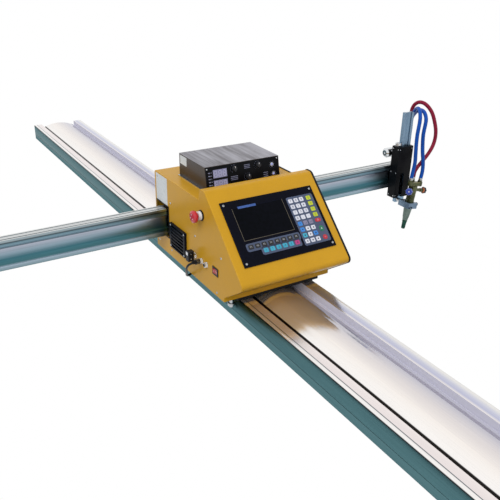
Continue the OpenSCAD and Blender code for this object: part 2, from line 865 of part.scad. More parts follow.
module beam_roller(s) {
    roller_w = beam_d - 4;
    color("silver")
        translate([s * beam_roller_x, beam_roller_y, beam_roller_z])
            rotate([90, 0, 0])
                rotate_extrude($fn = 64)
                    polygon([
                        [bracket_pin_d / 2 + fit, -roller_w / 2],
                        [beam_roller_d / 2 - 1, -roller_w / 2],
                        [beam_roller_d / 2, -roller_w / 2 + 1],
                        [beam_roller_d / 2, roller_w / 2 - 1],
                        [beam_roller_d / 2 - 1, roller_w / 2],
                        [bracket_pin_d / 2 + fit, roller_w / 2]
                    ]);
}

module beam_roller_left() {
    beam_roller(-1);
}

module beam_roller_right() {
    beam_roller(1);
}

// Power supply and the three motor drivers
module power_electronics() {
    driver_t = 24;
    driver_x = rail_pinion_x - rail_motor_w / 2 - 10.5 - 3 * driver_t - 2 * 6;
    color("silver")
        block([driver_x - 130, back_y - 355, floor_top], [driver_x - 15, back_y - 165, floor_top + 50]);
    color("black")
        for (i = [0:2])
            block([driver_x + i * (driver_t + 6), back_y - 290, floor_top],
                [driver_x + driver_t + i * (driver_t + 6), back_y - 172, floor_top + 76]);
}

// Controller

module controller_case() {
    color("black")
        on_slope()
            block([-panel_w / 2 + 14 + seat_gap, -panel_s - panel_l + 8 + seat_gap, -case_d],
                [panel_w / 2 - 14 - seat_gap, -panel_s - 8 - seat_gap, 0]);
}

screen_x = -41;
screen_s = panel_s + 74;
pocket_d = 1;

module control_panel() {
    color("black")
        on_slope()
            difference() {
                block([-panel_w / 2, -panel_s - panel_l, 0], [panel_w / 2, -panel_s, panel_t]);
                translate([screen_x, -screen_s, panel_t])
                    cube([screen_w + 2 * seat_gap, screen_l + 2 * seat_gap, 2 * pocket_d],
                        center = true);
            }
}

module display_screen() {
    color("midnightblue")
        on_slope()
            translate([screen_x, -screen_s, panel_t - pocket_d / 2])
                cube([screen_w, screen_l, pocket_d], center = true);
}

key_pitch = 18.6;
key_l = 13;

// Membrane pads with their keys: a block of four columns and two strips below the screen
module keypad() {
    pad_t = 1;
    key_h = 0.8;
    pad_x = 100;
    pad_s = panel_s + 98;
    columns = [-34, -15, 4, 27];
    strip_1 = [-39, panel_s + 136];
    strip_2 = [-20, panel_s + 162];
    color("slategray")
        on_slope()
            translate([0, 0, panel_t]) {
                block([pad_x - 46, -pad_s - 78, 0], [pad_x + 46, -pad_s + 78, pad_t]);
                for (r = [0:7], c = [0:3])
                    block([
                        pad_x + columns[c] - (c == 3 ? 8 : 7),
                        -pad_s + 65 - r * key_pitch - key_l / 2, pad_t
                    ], [
                        pad_x + columns[c] + (c == 3 ? 12 : 7),
                        -pad_s + 65 - r * key_pitch + key_l / 2, pad_t + key_h
                    ]);
                block([strip_1[0] - 89, -strip_1[1] - 13, 0],
                    [strip_1[0] + 89, -strip_1[1] + 13, pad_t]);
                for (i = [0:7])
                    block([strip_1[0] - 83 + i * 21.5, -strip_1[1] - 7, pad_t],
                        [strip_1[0] - 67 + i * 21.5, -strip_1[1] + 7, pad_t + key_h]);
                block([strip_2[0] - 66, -strip_2[1] - 12.8, 0],
                    [strip_2[0] + 66, -strip_2[1] + 12.8, pad_t]);
                for (i = [0:5])
                    block([strip_2[0] - 60 + i * 21, -strip_2[1] - 7, pad_t],
                        [strip_2[0] - 45 + i * 21, -strip_2[1] + 7, pad_t + key_h]);
            }
}

// Fittings on the left side

estop_ring_t = 4;
estop_collar_l = 9;
estop_stem_d = 12;

// Bezel ring, collar and contact block of the stop button
module estop_base() {
    y = back_y - estop_u;
    color("black") {
        difference() {
            union() {
                rod_x_axis(-side_x - estop_ring_t, y, estop_z, 31, estop_ring_t);
                rod_x_axis(-side_x - estop_ring_t - estop_collar_l, y, estop_z, 26, estop_collar_l);
                rod_x_axis(-side_x, y, estop_z, estop_hole_d - 2 * seat_gap, 20);
            }
            rod_x_axis(-side_x - 30, y, estop_z, estop_stem_d + 2 * fit, 44);
        }
        block([-side_x + 20, y - 15, estop_z - 20], [-side_x + 46, y + 15, estop_z + 20]);
    }
}

module estop_cap() {
    gap = estop_travel + 0.7;
    x0 = -side_x - estop_ring_t - estop_collar_l - gap;
    color("crimson")
        translate([x0, back_y - estop_u, estop_z])
            rotate([0, -90, 0])
                rotate_extrude($fn = 64)
                    polygon(concat([[0, -20], [estop_stem_d / 2, -20], [estop_stem_d / 2, 0]],
                        [[estop_d / 2 - 3, 0], [estop_d / 2 - 0.6, 1.2], [estop_d / 2, 3], [estop_d / 2, 7]],
                        [for (i = [1:6]) [estop_d / 2 - 5 * (1 - cos(15 * i)), 7 + 5 * sin(15 * i)]],
                        [[0, 13.5]]));
}

// Slotted cover over the fan
module fan_guard() {
    y = back_y - fan_u;
    guard_t = 8;
    slat_pitch = 11;
    color("black")
        difference() {
            block([-side_x - guard_t, y - fan_guard_w / 2, fan_z - fan_guard_h / 2],
                [-side_x, y + fan_guard_w / 2, fan_z + fan_guard_h / 2]);
            block([-side_x - guard_t + 2.5, y - fan_guard_w / 2 + 4, fan_z - fan_guard_h / 2 + 4],
                [-side_x + 1, y + fan_guard_w / 2 - 4, fan_z + fan_guard_h / 2 - 4]);
            for (i = [-3:3])
                block([-side_x - guard_t - 1, y - fan_guard_w / 2 + 10, fan_z + i * slat_pitch - 3.5],
                    [-side_x, y + fan_guard_w / 2 - 10, fan_z + i * slat_pitch + 3.5]);
        }
}

fan_t = 24;
fan_hub_d = 28;

module fan_frame() {
    y = back_y - fan_u;
    x0 = -panel_in_x;
    color("black")
        difference() {
            union() {
                difference() {
                    block([x0, y - fan_frame_w / 2, fan_z - fan_frame_w / 2],
                        [x0 + fan_t, y + fan_frame_w / 2, fan_z + fan_frame_w / 2]);
                    rod_x_axis(x0 - 1, y, fan_z, fan_d + 2, fan_t + 2);
                }
                rod_x_axis(x0 + fan_t - 4, y, fan_z, fan_hub_d, 4);
                block([x0 + fan_t - 3, y - 3, fan_z - fan_frame_w / 2 + 1],
                    [x0 + fan_t, y + 3, fan_z + fan_frame_w / 2 - 1]);
                block([x0 + fan_t - 3, y - fan_frame_w / 2 + 1, fan_z - 3],
                    [x0 + fan_t, y + fan_frame_w / 2 - 1, fan_z + 3]);
            }
            rod_x_axis(x0 + fan_t - 8, y, fan_z, 4 + 2 * fit, 10);
        }
}

module fan_rotor() {
    blades = 7;
    x0 = -panel_in_x + 3;
    hub_l = fan_t - 4 - 3 - run_gap;
    color("dimgray")
        translate([x0, back_y - fan_u, fan_z])
            rotate([0, 90, 0]) {
                cylinder(d = fan_hub_d, h = hub_l);
                cylinder(d = 4, h = fan_t - 4);
                for (i = [0:blades - 1])
                    rotate([0, 0, i * 360 / blades])
                        translate([fan_hub_d / 2 - 1, -1, hub_l / 2])
                            rotate([40, 0, 0])
                                translate([0, 0, -9])
                                    cube([(fan_d - fan_hub_d) / 2 - 1, 1.6, 18]);
            }
}

bezel_t = 2;
rocker_axle_d = 3;
rocker_tilt = 8;

module switch_frame() {
    y = back_y - rocker_u;
    wall = 2;
    color("black")
        difference() {
            union() {
                block([-side_x - bezel_t, y - rocker_w / 2 - 3, socket_z - rocker_h / 2 - 3],
                    [-side_x, y + rocker_w / 2 + 3, socket_z + rocker_h / 2 + 3]);
                block([-side_x, y - rocker_w / 2 + seat_gap, socket_z - rocker_h / 2 + seat_gap],
                    [-side_x + 24, y + rocker_w / 2 - seat_gap, socket_z + rocker_h / 2 - seat_gap]);
            }
            block([-side_x - bezel_t - 1, y - rocker_w / 2 + wall, socket_z - rocker_h / 2 + wall],
                [-side_x + 14, y + rocker_w / 2 - wall, socket_z + rocker_h / 2 - wall]);
            rod_z_axis(-side_x + 3, y, socket_z - rocker_h / 2, rocker_axle_d + 2 * fit, rocker_h);
        }
}

// Rocker of the main switch, tilted to its off side
module power_rocker() {
    h = rocker_h - 4 - 1;
    l = rocker_w - 4 - 1.5;
    color("firebrick")
        translate([-side_x + 3, back_y - rocker_u, socket_z])
            rotate([0, 0, rocker_tilt]) {
                translate([0, 0, -h / 2])
                    linear_extrude(h)
                        polygon([
                            [-6.5, -l / 2 + 1], [-4.5, 0], [-6.5, l / 2 - 1], [-4.5, l / 2],
                            [2, l / 2 - 3], [2, -l / 2 + 3], [-4.5, -l / 2]
                        ]);
                rod_z_axis(0, 0, -rocker_h / 2 + 1, rocker_axle_d, rocker_h - 2);
            }
}

plug_l = 14;

// Row of round sockets; the rear one carries a tall plug and the middle one the cable's plug
module side_sockets() {
    color("silver")
        for (u = socket_us) {
            rod_x_axis(-side_x - 3, back_y - u, socket_z, socket_d, 3);
            rod_x_axis(-side_x - 10, back_y - u, socket_z, socket_d - 3, 8);
            rod_x_axis(-side_x, back_y - u, socket_z, socket_d - 4 - 2 * seat_gap, 14);
        }
    color("black") {
        block([-side_x - 30, back_y - socket_us[0] - 9, socket_z - 14],
            [-side_x - 10, back_y - socket_us[0] + 9, socket_z + 20]);
        rod_x_axis(-side_x - 24, back_y - socket_us[1], socket_z, socket_d - 2, plug_l);
        rod_x_axis(-side_x - 32, back_y - socket_us[1], socket_z, cable_d + 4, 9);
    }
}

module signal_cable() {
    color("black")
        tube(cable_route, cable_d, [1, 1, 0.2], 8);
}

// Height controller

module thc_case() {
    u0 = thc_u;
    u1 = thc_top_u;
    u2 = thc_top_u + thc_lean;
    t = thc_t;
    front_back = 3;
    z0 = top_z;
    z1 = top_z + thc_h;
    foot = 7;
    color("black") {
        difference() {
            side_plate([at(u0, z0), at(u0, z1), at(u1, z1), at(u2, z0)], thc_x - thc_w / 2, thc_w);
            side_plate([
                at(u0 + t, z0 + t), at(u0 + t, z1 - t), at(u1 + 10, z1 - t), at(u2 + 10, z0 + t)
            ], thc_x - thc_w / 2 + t, thc_w - 2 * t);
        }
        for (s = [-1, 1])
            translate([thc_x + s * (thc_w / 2 + foot / 2), back_y - (u0 + u1) / 2, z0 + 1])
                cube([foot, thc_top_l - 4, 2], center = true);
    }
    color("silver")
        for (s = [-1, 1], u = [u0 + 10, u1 - 10])
            translate([thc_x + s * (thc_w / 2 + foot / 2), back_y - u, z0 + 2])
                cylinder(d1 = 5, d2 = 4, h = 1.2);
}

thc_front_t = 2.5;
thc_slope_l = norm([thc_h, thc_lean]);

module thc_front() {
    w = thc_w - 2 * thc_t - 2 * seat_gap;
    color("black")
        on_thc()
            difference() {
                block([-w / 2, thc_t + seat_gap + 0.6, -thc_front_t],
                    [w / 2, thc_slope_l - thc_t - seat_gap - 0.6, 0]);
                for (p = thc_knobs)
                    translate([p[0], p[1], -10])
                        cylinder(d = thc_shaft_d + 2 * fit, h = 20);
            }
    color("slategray")
        on_thc()
            for (y = [17, 48])
                block([-102, y - 12, 0], [-56, y + 12, 0.8]);
    color("white")
        on_thc()
            for (p = [[102, 48], [106, 19]])
                translate([p[0], p[1], 0])
                    cylinder(d = 8, h = 3);
}

thc_shaft_d = 6;
thc_knobs = [[-32, 55], [14, 24], [51, 54]];

module thc_knob(p) {
    color("dimgray")
        on_thc()
            translate([p[0], p[1], 0]) {
                translate([0, 0, -12])
                    cylinder(d = thc_shaft_d, h = 14);
                translate([0, 0, run_gap])
                    cylinder(d1 = thc_knob_d, d2 = thc_knob_d - 2, h = 11);
                translate([-1, thc_knob_d / 2 - 6, 11])
                    cube([2, 4, 1]);
            }
}

module thc_knob_1() {
    thc_knob(thc_knobs[0]);
}

module thc_knob_2() {
    thc_knob(thc_knobs[1]);
}

module thc_knob_3() {
    thc_knob(thc_knobs[2]);
}

// Crossbeam

module beam_profile() {
    w = beam_wall;
    d = beam_d;
    h = beam_h;
    channel = 6;
    difference() {
        polygon([
            [0, 0], [d, 0], [d, h], [d - 6, h], [d - 6, h - 2], [d - 10, h - 2], [d - 10, h],
            [10, h], [10, h - 2], [6, h - 2], [6, h], [0, h],
            [0, h - 18], [1.5, h - 19], [1.5, h - 20], [0, h - 21],
            [3, h - 26], [channel, h - 36], [channel, 40], [3, 30], [0, 26],
            [0, 16], [1.5, 15], [1.5, 14], [0, 13]
        ]);
        translate([channel + w, w])
            square([d - channel - 2 * w, h - 2 * w - 2]);
    }
}

module crossbeam() {
    color("lightsteelblue")
        translate([beam_start_x, beam_y, beam_z])
            rotate([90, 0, 90])
                linear_extrude(beam_l)
                    beam_profile();
}

beam_rack_end_x = lift_x - 40;

module beam_rack() {
    s0 = beam_start_x + 20;
    s1 = beam_rack_end_x;
    color("dimgray") {
        translate([0, beam_back_y, beam_rack_z])
            rack_bar(s0, s1, beam_pinion_x);
        block([s0, beam_back_y, beam_rack_z + gear_w],
            [s1, beam_back_y + rack_back, beam_rack_z + gear_w + rack_foot]);
    }
}

// Plugs in both ends of the crossbeam
module beam_end_cap() {
    low_z = beam_z + beam_wall + seat_gap;
    high_z = beam_top_z - beam_wall - 2 - seat_gap;
    color("black")
        for (x = [[beam_start_x - 4, beam_start_x, 0, 12], [beam_end_x, beam_end_x + 4, -12, 0]]) {
            block([x[0], beam_y, beam_z], [x[1], beam_back_y, beam_top_z]);
            block([(x[2] < 0 ? x[0] : x[1]) + x[2], beam_y + 6 + beam_wall + seat_gap, low_z],
                [(x[2] < 0 ? x[0] : x[1]) + x[3], beam_back_y - beam_wall - seat_gap, high_z]);
        }
}

// Torch lift

lift_wall = 2.5;

module lift_housing() {
    x0 = lift_x;
    x1 = lift_x + lift_w;
    y0 = lift_front_y;
    y1 = beam_y;
    z1 = lift_z + lift_h;
    w = lift_wall;
    bar_gap = 0.2;
    guide_t = 22;
    color("black")
        difference() {
            block([x0, y0, lift_z], [x1, y1, z1]);
            difference() {
                block([x0 + w, y0 + w, lift_z + w], [x1 - w, y1 - w, z1 - w]);
                block([x0, y0, lift_z + 14], [x1, y1, lift_z + 14 + guide_t]);
                block([x0, y0, z1 - 14 - guide_t], [x1, y1, z1 - 14]);
            }
            block([bar_x - bar_w / 2 - bar_gap, bar_front_y - bar_gap, lift_z - 1],
                [bar_x + bar_w / 2 + bar_gap, bar_back_y + bar_gap, z1 + 1]);
            rod_z_axis(screw_x, screw_y, lift_z + 8, lift_screw_d + 2 * fit, lift_h);
            block([rod_x - rod_d / 2 - 1.5, y0 - 1, lift_z - 1],
                [rod_x + rod_d / 2 + 1.5, bar_front_y + 1, rod_z + rod_d / 2 + lift_travel + 1.5]);
        }
}

// Round motor behind the housing, above the crossbeam, with its mounting neck
module lift_motor() {
    motor_d = 36;
    y = beam_y + motor_d / 2 + 4;
    z = beam_top_z + motor_d / 2 + 25;
    x0 = lift_x - 16;
    color("silver") {
        difference() {
            union() {
                rod_x_axis(x0 + 6, y, z, motor_d, 56);
                translate([x0 + 6, y, z])
                    rotate([0, -90, 0])
                        cylinder(d1 = motor_d, d2 = motor_d - 14, h = 6);
            }
            rod_x_axis(x0 - 1, y, z, 8, 4);
        }
        block([lift_x + 6, beam_y, z - 12], [lift_x + 40, y, z + 12]);
    }
}

// Lead screw with its hand wheel on top of the housing
module lift_screw() {
    z1 = lift_z + lift_h;
    color("silver") {
        rod_z_axis(screw_x, screw_y, lift_z + 10, lift_screw_d, lift_h);
        translate([screw_x, screw_y, z1 + 4])
            rotate_extrude($fn = 64)
                polygon([
                    [0, 0], [lift_knob_d / 2 - 2, 0], [lift_knob_d / 2, 1.5],
                    [lift_knob_d / 2, 9], [lift_knob_d / 2 - 2, 11], [lift_knob_d / 2 - 5, 11],
                    [lift_knob_d / 2 - 6, 8], [0, 8]
                ]);
    }
}

// Bar that slides through the housing, with the nut of the lead screw on its side
module lift_bar() {
    slot_d = 3;
    nut_h = 16;
    nut_z = lift_z + 45;
    color("lightsteelblue") {
        difference() {
            block([bar_x - bar_w / 2, bar_front_y, bar_low_z],
                [bar_x + bar_w / 2, bar_back_y, bar_top_z]);
            block([bar_x - bar_w / 4, bar_front_y - 1, lift_z],
                [bar_x + bar_w / 4, bar_front_y + slot_d, bar_top_z + 1]);
            block([bar_x - bar_w / 4, bar_back_y - slot_d, lift_z],
                [bar_x + bar_w / 4, bar_back_y + 1, bar_top_z + 1]);
            rod_y_axis(rod_x, bar_front_y - 1, rod_z, rod_d, bar_t + 2);
        }
        difference() {
            block([screw_x - lift_screw_d / 2 - 2, bar_front_y + 1, nut_z],
                [bar_x - bar_w / 2, bar_back_y - 1, nut_z + nut_h]);
            rod_z_axis(screw_x, screw_y, nut_z - 1, lift_screw_d + 2 * fit, nut_h + 2);
        }
    }
}

clamp_half = 22;
clamp_depth = 34;
rod_front_y = torch_y + clamp_half - 3;

// Rod through the lower end of the lift bar, on which the torch turns
module torch_arm() {
    color("silver")
        rod_y_axis(rod_x, rod_front_y, rod_z, rod_d, bar_back_y - rod_front_y);
}

// Torch

module torch_clamp() {
    h = 22;
    color("silver")
        on_torch()
            difference() {
                union() {
                    block([-clamp_half, -clamp_half, -h / 2], [clamp_half, clamp_depth, h / 2]);
                    rod_x_axis(clamp_half - 2, 0, 0, 14, 12);
                }
                translate([0, 0, -h])
                    cylinder(d = torch_d + 2 * fit, h = 2 * h);
                rod_y_axis(0, clamp_half - 4, 0, rod_d + 2 * fit, 30);
                rod_x_axis(torch_d / 2 - 1, 0, 0, 6 + 2 * fit, 30);
            }
    color("black")
        on_torch()
            for (x = [-clamp_half + 5, -6])
                rod_y_axis(x, -clamp_half - 3, -7 + (x + 17) * 0.1, 5, 3);
}

module clamp_knob() {
    color("black")
        on_torch() {
            rod_x_axis(torch_d / 2 + run_gap, 0, 0, 6, 22);
            rod_x_axis(clamp_half + 10 + run_gap, 0, 0, 15, 10);
        }
}

head_z = 60;
inlet_z = torch_up;
inlets = [[-25, -4], [25, -4], [4, 14]];
valve_spindle_d = 5;

// Places of the two gas valves: turn about the torch, dip below its cross plane, reach, wheel
valve_1 = [211, 0, 42, 27];
valve_2 = [0, 4, 53, 26];

module valve_frame(v) {
    on_torch()
        translate([0, 0, head_z])
            rotate([0, v[1], v[0]])
                children();
}

module torch_body() {
    color("darkgoldenrod")
        difference() {
            union() {
                on_torch() {
                    rotate_extrude($fn = 64)
                        polygon([
                            [0, -torch_down], [9.5, -torch_down], [10.5, -torch_down + 4],
                            [12, -torch_down + 8], [torch_d / 2 - 1, -16], [torch_d / 2, -14],
                            [torch_d / 2, 14], [torch_d / 2 - 0.5, 15],
                            [torch_d / 2 - 0.5, head_z + 16], [0, head_z + 16]
                        ]);
                    block([-36, -13, inlet_z - 17], [36, 22, inlet_z]);
                    for (p = inlets)
                        translate([p[0], p[1], inlet_z - 1])
                            cylinder(d = hose_d + 1, h = 15);
                }
                for (v = [valve_1, valve_2])
                    valve_frame(v) {
                        rod_x_axis(torch_d / 2 - 6, 0, 0, 12, v[2] - torch_d / 2 + 6);
                        rod_x_axis(v[2] - 14, 0, 0, 16, 8);
                    }
            }
            for (v = [valve_1, valve_2])
                valve_frame(v)
                    rod_x_axis(v[2] - 13, 0, 0, valve_spindle_d + 2 * fit, 14);
        }
}

module torch_nozzle() {
    l = nozzle_l;
    color("darkolivegreen")
        on_torch()
            translate([0, 0, -torch_down])
                rotate_extrude($fn = 64)
                    polygon([
                        [0.8, 0], [8.5, 0], [9.5, -2], [9.5, -6], [8.5, -8], [7.5, -l + 4],
                        [6.5, -l], [0.8, -l]
                    ]);
}

// Hand wheel of a gas valve, with its spindle
module valve_wheel(v) {
    r = v[3] / 2;
    valve_frame(v) {
        rod_x_axis(v[2] - 12, 0, 0, valve_spindle_d, 14);
        translate([v[2] + run_gap, 0, 0])
            rotate([0, 90, 0])
                rotate_extrude($fn = 64)
                    polygon([
                        [0, 0], [r - 5, 0], [r - 4, 3], [r, 4], [r, 11], [r - 1.5, 13],
                        [5, 13], [4, 12], [0, 12]
                    ]);
    }
}

module valve_left() {
    color("royalblue")
        valve_wheel(valve_1);
}

module valve_right() {
    color("black")
        valve_wheel(valve_2);
}

module gas_hoses() {
    color("royalblue") {
        tube(blue_left_route, hose_d, [1, -1, 0]);
        tube(blue_right_route, hose_d, [1, -1, 0]);
    }
    color("firebrick")
        tube(red_route, hose_d, [0, 1, 0]);
}

hose_ends = [
    blue_left_route[len(blue_left_route) - 1],
    blue_right_route[len(blue_right_route) - 1], red_route[0]
];
nipple_l = 20;

// Block behind the lift bar that joins the hoses to the nipples for the supply hoses. It stands
// slanted, so that the row of hoses leads straight back
module hose_bracket() {
    low_z = hose_ends[0][2] - 30;
    top_z = hose_ends[0][2] - 12;
    row = hose_ends[2] - hose_ends[0];
    margin = hose_d / 2 + 2;
    color("dimgray")
        block([bar_x - 3, bar_back_y, low_z + 2],
            [bar_x + bar_w / 2 + 6, bar_back_y + 8, top_z - 2]);
    color("dimgray")
        translate([hose_ends[0][0], hose_ends[0][1], low_z])
            rotate([0, 0, atan2(row[1], row[0])])
                block([-margin, -margin, 0], [norm(row) + margin, margin, top_z - low_z]);
    color("goldenrod")
        for (p = hose_ends) {
            rod_z_axis(p[0], p[1], top_z - 1, hose_d + 1, 13);
            rod_z_axis(p[0], p[1], low_z - nipple_l, nipple_d, nipple_l + 1);
        }
}

rail_extrusion();
rail_rack();
rack_screws();
base_tray();
side_panel_left();
side_panel_right();
console_cover();
rear_cover();
edge_trims();
housing_screws();
rail_wiper();
wheel_mounts();
beam_brackets();
beam_slide_pads();
drive_motors();
power_electronics();
front_wheelset();
rear_wheelset();
guide_roller_front_left();
guide_roller_front_right();
guide_roller_rear_left();
guide_roller_rear_right();
rail_pinion();
beam_pinion();
beam_roller_left();
beam_roller_right();
controller_case();
control_panel();
display_screen();
keypad();
estop_base();
estop_cap();
fan_guard();
fan_frame();
fan_rotor();
switch_frame();
power_rocker();
side_sockets();
signal_cable();
thc_case();
thc_front();
thc_knob_1();
thc_knob_2();
thc_knob_3();
crossbeam();
beam_rack();
beam_end_cap();
lift_housing();
lift_motor();
lift_screw();
lift_bar();
torch_arm();
torch_clamp();
clamp_knob();
torch_body();
torch_nozzle();
valve_left();
valve_right();
gas_hoses();
hose_bracket();
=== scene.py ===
"""A console carriage on a wide aluminium rail, with a crossbeam, a torch lift and a cutting torch."""

import json
import math

import bmesh
import bpy
from bpy.props import FloatProperty, FloatVectorProperty, IntProperty, PointerProperty
from mathutils import Matrix, Vector


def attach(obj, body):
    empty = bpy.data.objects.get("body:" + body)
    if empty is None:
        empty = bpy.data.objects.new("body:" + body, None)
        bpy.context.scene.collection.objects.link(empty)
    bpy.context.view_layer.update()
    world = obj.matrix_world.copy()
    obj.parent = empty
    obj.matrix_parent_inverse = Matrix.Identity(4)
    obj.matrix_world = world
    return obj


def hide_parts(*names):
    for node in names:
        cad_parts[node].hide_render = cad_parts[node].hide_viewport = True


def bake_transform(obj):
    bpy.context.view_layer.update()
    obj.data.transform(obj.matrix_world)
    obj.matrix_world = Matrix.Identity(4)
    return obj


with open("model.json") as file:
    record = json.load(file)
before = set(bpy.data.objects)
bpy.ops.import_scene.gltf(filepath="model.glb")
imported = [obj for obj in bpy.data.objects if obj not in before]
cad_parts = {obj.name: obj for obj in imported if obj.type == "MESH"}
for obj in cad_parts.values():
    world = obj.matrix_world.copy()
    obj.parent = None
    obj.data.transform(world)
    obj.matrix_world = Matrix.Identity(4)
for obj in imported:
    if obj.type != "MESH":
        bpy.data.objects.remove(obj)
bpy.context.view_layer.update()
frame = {"nodes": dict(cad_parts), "record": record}

bl_info = {
    "name": "Portable cutting machine",
    "version": (1, 0, 0),
    "blender": (4, 5, 0),
    "location": "3D View > Sidebar > Cutter",
    "description": "Builds the looks of a rail-mounted cutting machine around its packed solids",
    "category": "Object",
}

NODES = frame["nodes"]
BODY_OF = {node: body for body, nodes in frame["record"]["behaviour"]["bodies"].items() for node in nodes}
SLOT_OF = {part["node"]: part["material_slot"] for part in frame["record"]["subparts"]}
MM = 0.001
FINISHES = {}


def linear(code):
    """Turns an sRGB hex colour into the linear numbers that a shader takes."""
    levels = [int(code[i:i + 2], 16) / 255 for i in (1, 3, 5)]
    levels = [v / 12.92 if v <= 0.04045 else ((v + 0.055) / 1.055) ** 2.4 for v in levels]
    return (*levels, 1.0)


# Settings

COLOUR = {"subtype": "COLOR", "size": 4, "min": 0.0, "max": 1.0}


class CutterColours(bpy.types.PropertyGroup):
    """Finishes that a user would repaint."""

    housing: FloatVectorProperty(
        name="Housing paint", description="Powder coat of the carriage housing",
        default=linear("#d19d22"), **COLOUR,
    )
    oxygen_hose: FloatVectorProperty(
        name="Oxygen hoses", description="Rubber cover of the two blue hoses",
        default=linear("#0f52b4"), **COLOUR,
    )
    fuel_hose: FloatVectorProperty(
        name="Fuel hose", description="Rubber cover of the red hose",
        default=linear("#8e1836"), **COLOUR,
    )
    stop_button: FloatVectorProperty(
        name="Stop button", description="Moulded cap of the stop button",
        default=linear("#cf2233"), **COLOUR,
    )


class CutterSizes(bpy.types.PropertyGroup):
    """Sizes that a user would change."""

    sheet_edge: FloatProperty(
        name="Sheet edge", description="Radius on the folded sheet edges, in millimetres",
        default=0.8, min=0.2, max=1.4, unit="NONE",
    )
    hose_diameter: FloatProperty(
        name="Hose diameter", description="Outer diameter of the gas hoses",
        default=0.014, min=0.012, max=0.0145, unit="LENGTH",
    )
    round_steps: IntProperty(
        name="Steps round", description="Faces round a turned piece",
        default=48, min=24, max=96,
    )


class CutterLight(bpy.types.PropertyGroup):
    """Level of the studio light."""

    sky: FloatProperty(name="Sky", description="Strength of the even light", default=0.52, min=0.0, max=2.0)
    key: FloatProperty(name="Key", description="Strength of the main light", default=1.75, min=0.0, max=8.0)
    key_spread: FloatProperty(
        name="Key spread", description="Apparent width of the main light",
        default=math.radians(50), min=0.0, max=math.pi, subtype="ANGLE",
    )


# Mesh helpers. Shapes are made in millimetres and turned to metres when the piece is finished

def moved(x, y, z):
    """A shift, as a matrix."""
    return Matrix.Translation((x, y, z))


def turned(degrees, axis):
    """A turn about one axis, as a matrix."""
    return Matrix.Rotation(math.radians(degrees), 4, axis)


def around(place, count, first=0, reach=0, rise=0):
    """Places evenly spaced round the axis of a place."""
    turns = [turned(first + 360 / count * index, "Z") for index in range(count)]
    return [place @ turn @ moved(reach, 0, rise) for turn in turns]


def of_kind(items, kind):
    """The vertices or the edges among what an operator made."""
    return [item for item in items if isinstance(item, kind)]


def soften(shape, width, segments=2, angle=28, edges=None):
    """Breaks sharp edges, and marks the new faces as edge so that their finish can show wear and a painted
    edge highlight there.
    """
    layer = shape.faces.layers.float.get("edge") or shape.faces.layers.float.new("edge")
    if edges is None:
        sharp = math.radians(angle)
        edges = [e for e in shape.edges if len(e.link_faces) == 2 and e.calc_face_angle(0) > sharp]
    made = bmesh.ops.bevel(
        shape, geom=edges, offset=width, offset_type="OFFSET", segments=segments, profile=0.5,
        affect="EDGES", clamp_overlap=True, material=-1,
    )
    for face in made["faces"]:
        face[layer] = 1.0
    return shape


def block(low, high, edge=0.0, segments=2):
    """A block between two corners, with softened edges."""
    shape = bmesh.new()
    size = [b - a for a, b in zip(low, high)]
    centre = [(a + b) / 2 for a, b in zip(low, high)]
    bmesh.ops.create_cube(shape, size=1, matrix=moved(*centre) @ Matrix.Diagonal((*size, 1)))
    if edge:
        soften(shape, edge, segments)
    return shape


def plate(low, high, base, top, rounding, corner_steps, edge):
    """A flat plate with rounded corners and a softened upper rim."""
    shape = block((*low, base), (*high, top))
    uprights = [e for e in shape.edges if abs(e.verts[0].co.z - e.verts[1].co.z) > 0.5]
    soften(shape, rounding, corner_steps, edges=uprights)
    rims = [e for e in shape.edges if min(v.co.z for v in e.verts) > top - 0.05]
    return soften(shape, edge, 2, edges=rims)


def spun(profile, steps=None):
    """A body turned about Z from points of radius and height."""
    shape = bmesh.new()
    verts = [shape.verts.new((r, 0, z)) for r, z in profile]
    for a, b in zip(verts, verts[1:]):
        shape.edges.new((a, b))
    bmesh.ops.spin(
        shape, geom=list(shape.verts) + list(shape.edges), axis=(0, 0, 1), cent=(0, 0, 0), angle=math.tau,
        steps=steps or bpy.context.scene.cutter_sizes.round_steps, use_merge=True, use_duplicate=False,
    )
    bmesh.ops.remove_doubles(shape, verts=shape.verts, dist=0.001)
    bmesh.ops.dissolve_degenerate(shape, dist=0.0005, edges=shape.edges)
    return shape


def prism(radius, height, sides, edge=0.0, lobes=0, depth=0.0):
    """A straight prism on Z, with a scalloped rim when it has lobes."""
    shape = bmesh.new()
    bmesh.ops.create_circle(shape, cap_ends=True, radius=radius, segments=sides)
    if lobes:
        for vert in shape.verts:
            turn = math.atan2(vert.co.y, vert.co.x)
            vert.co *= 1 - depth / radius * (0.5 - 0.5 * math.cos(lobes * turn))
    made = bmesh.ops.extrude_face_region(shape, geom=list(shape.faces))
    bmesh.ops.translate(shape, verts=of_kind(made["geom"], bmesh.types.BMVert), vec=(0, 0, height))
    if edge:
        rims = [e for e in shape.edges if abs(e.verts[0].co.z - e.verts[1].co.z) < 1e-6]
        soften(shape, edge, 2, edges=rims)
    return shape


def add(shape, part, place=None, finish=0):
    """Adds a part to a shape, in its place and with its finish, and frees it."""
    if place is not None:
        bmesh.ops.transform(part, matrix=place, verts=part.verts)
    bmesh.ops.recalc_face_normals(part, faces=part.faces)
    for face in part.faces:
        face.material_index = finish
    mesh = bpy.data.meshes.new("part")
    part.to_mesh(mesh)
    part.free()
    shape.from_mesh(mesh)
    bpy.data.meshes.remove(mesh)


def add_block(shape, low, high, place=None, finish=0, edge=0.0, segments=2):
    """Adds a block to a shape."""
    add(shape, block(low, high, edge, segments), place, finish)


def add_spun(shape, profile, place=None, finish=0, steps=None):
    """Adds a turned body to a shape."""
    add(shape, spun(profile, steps), place, finish)


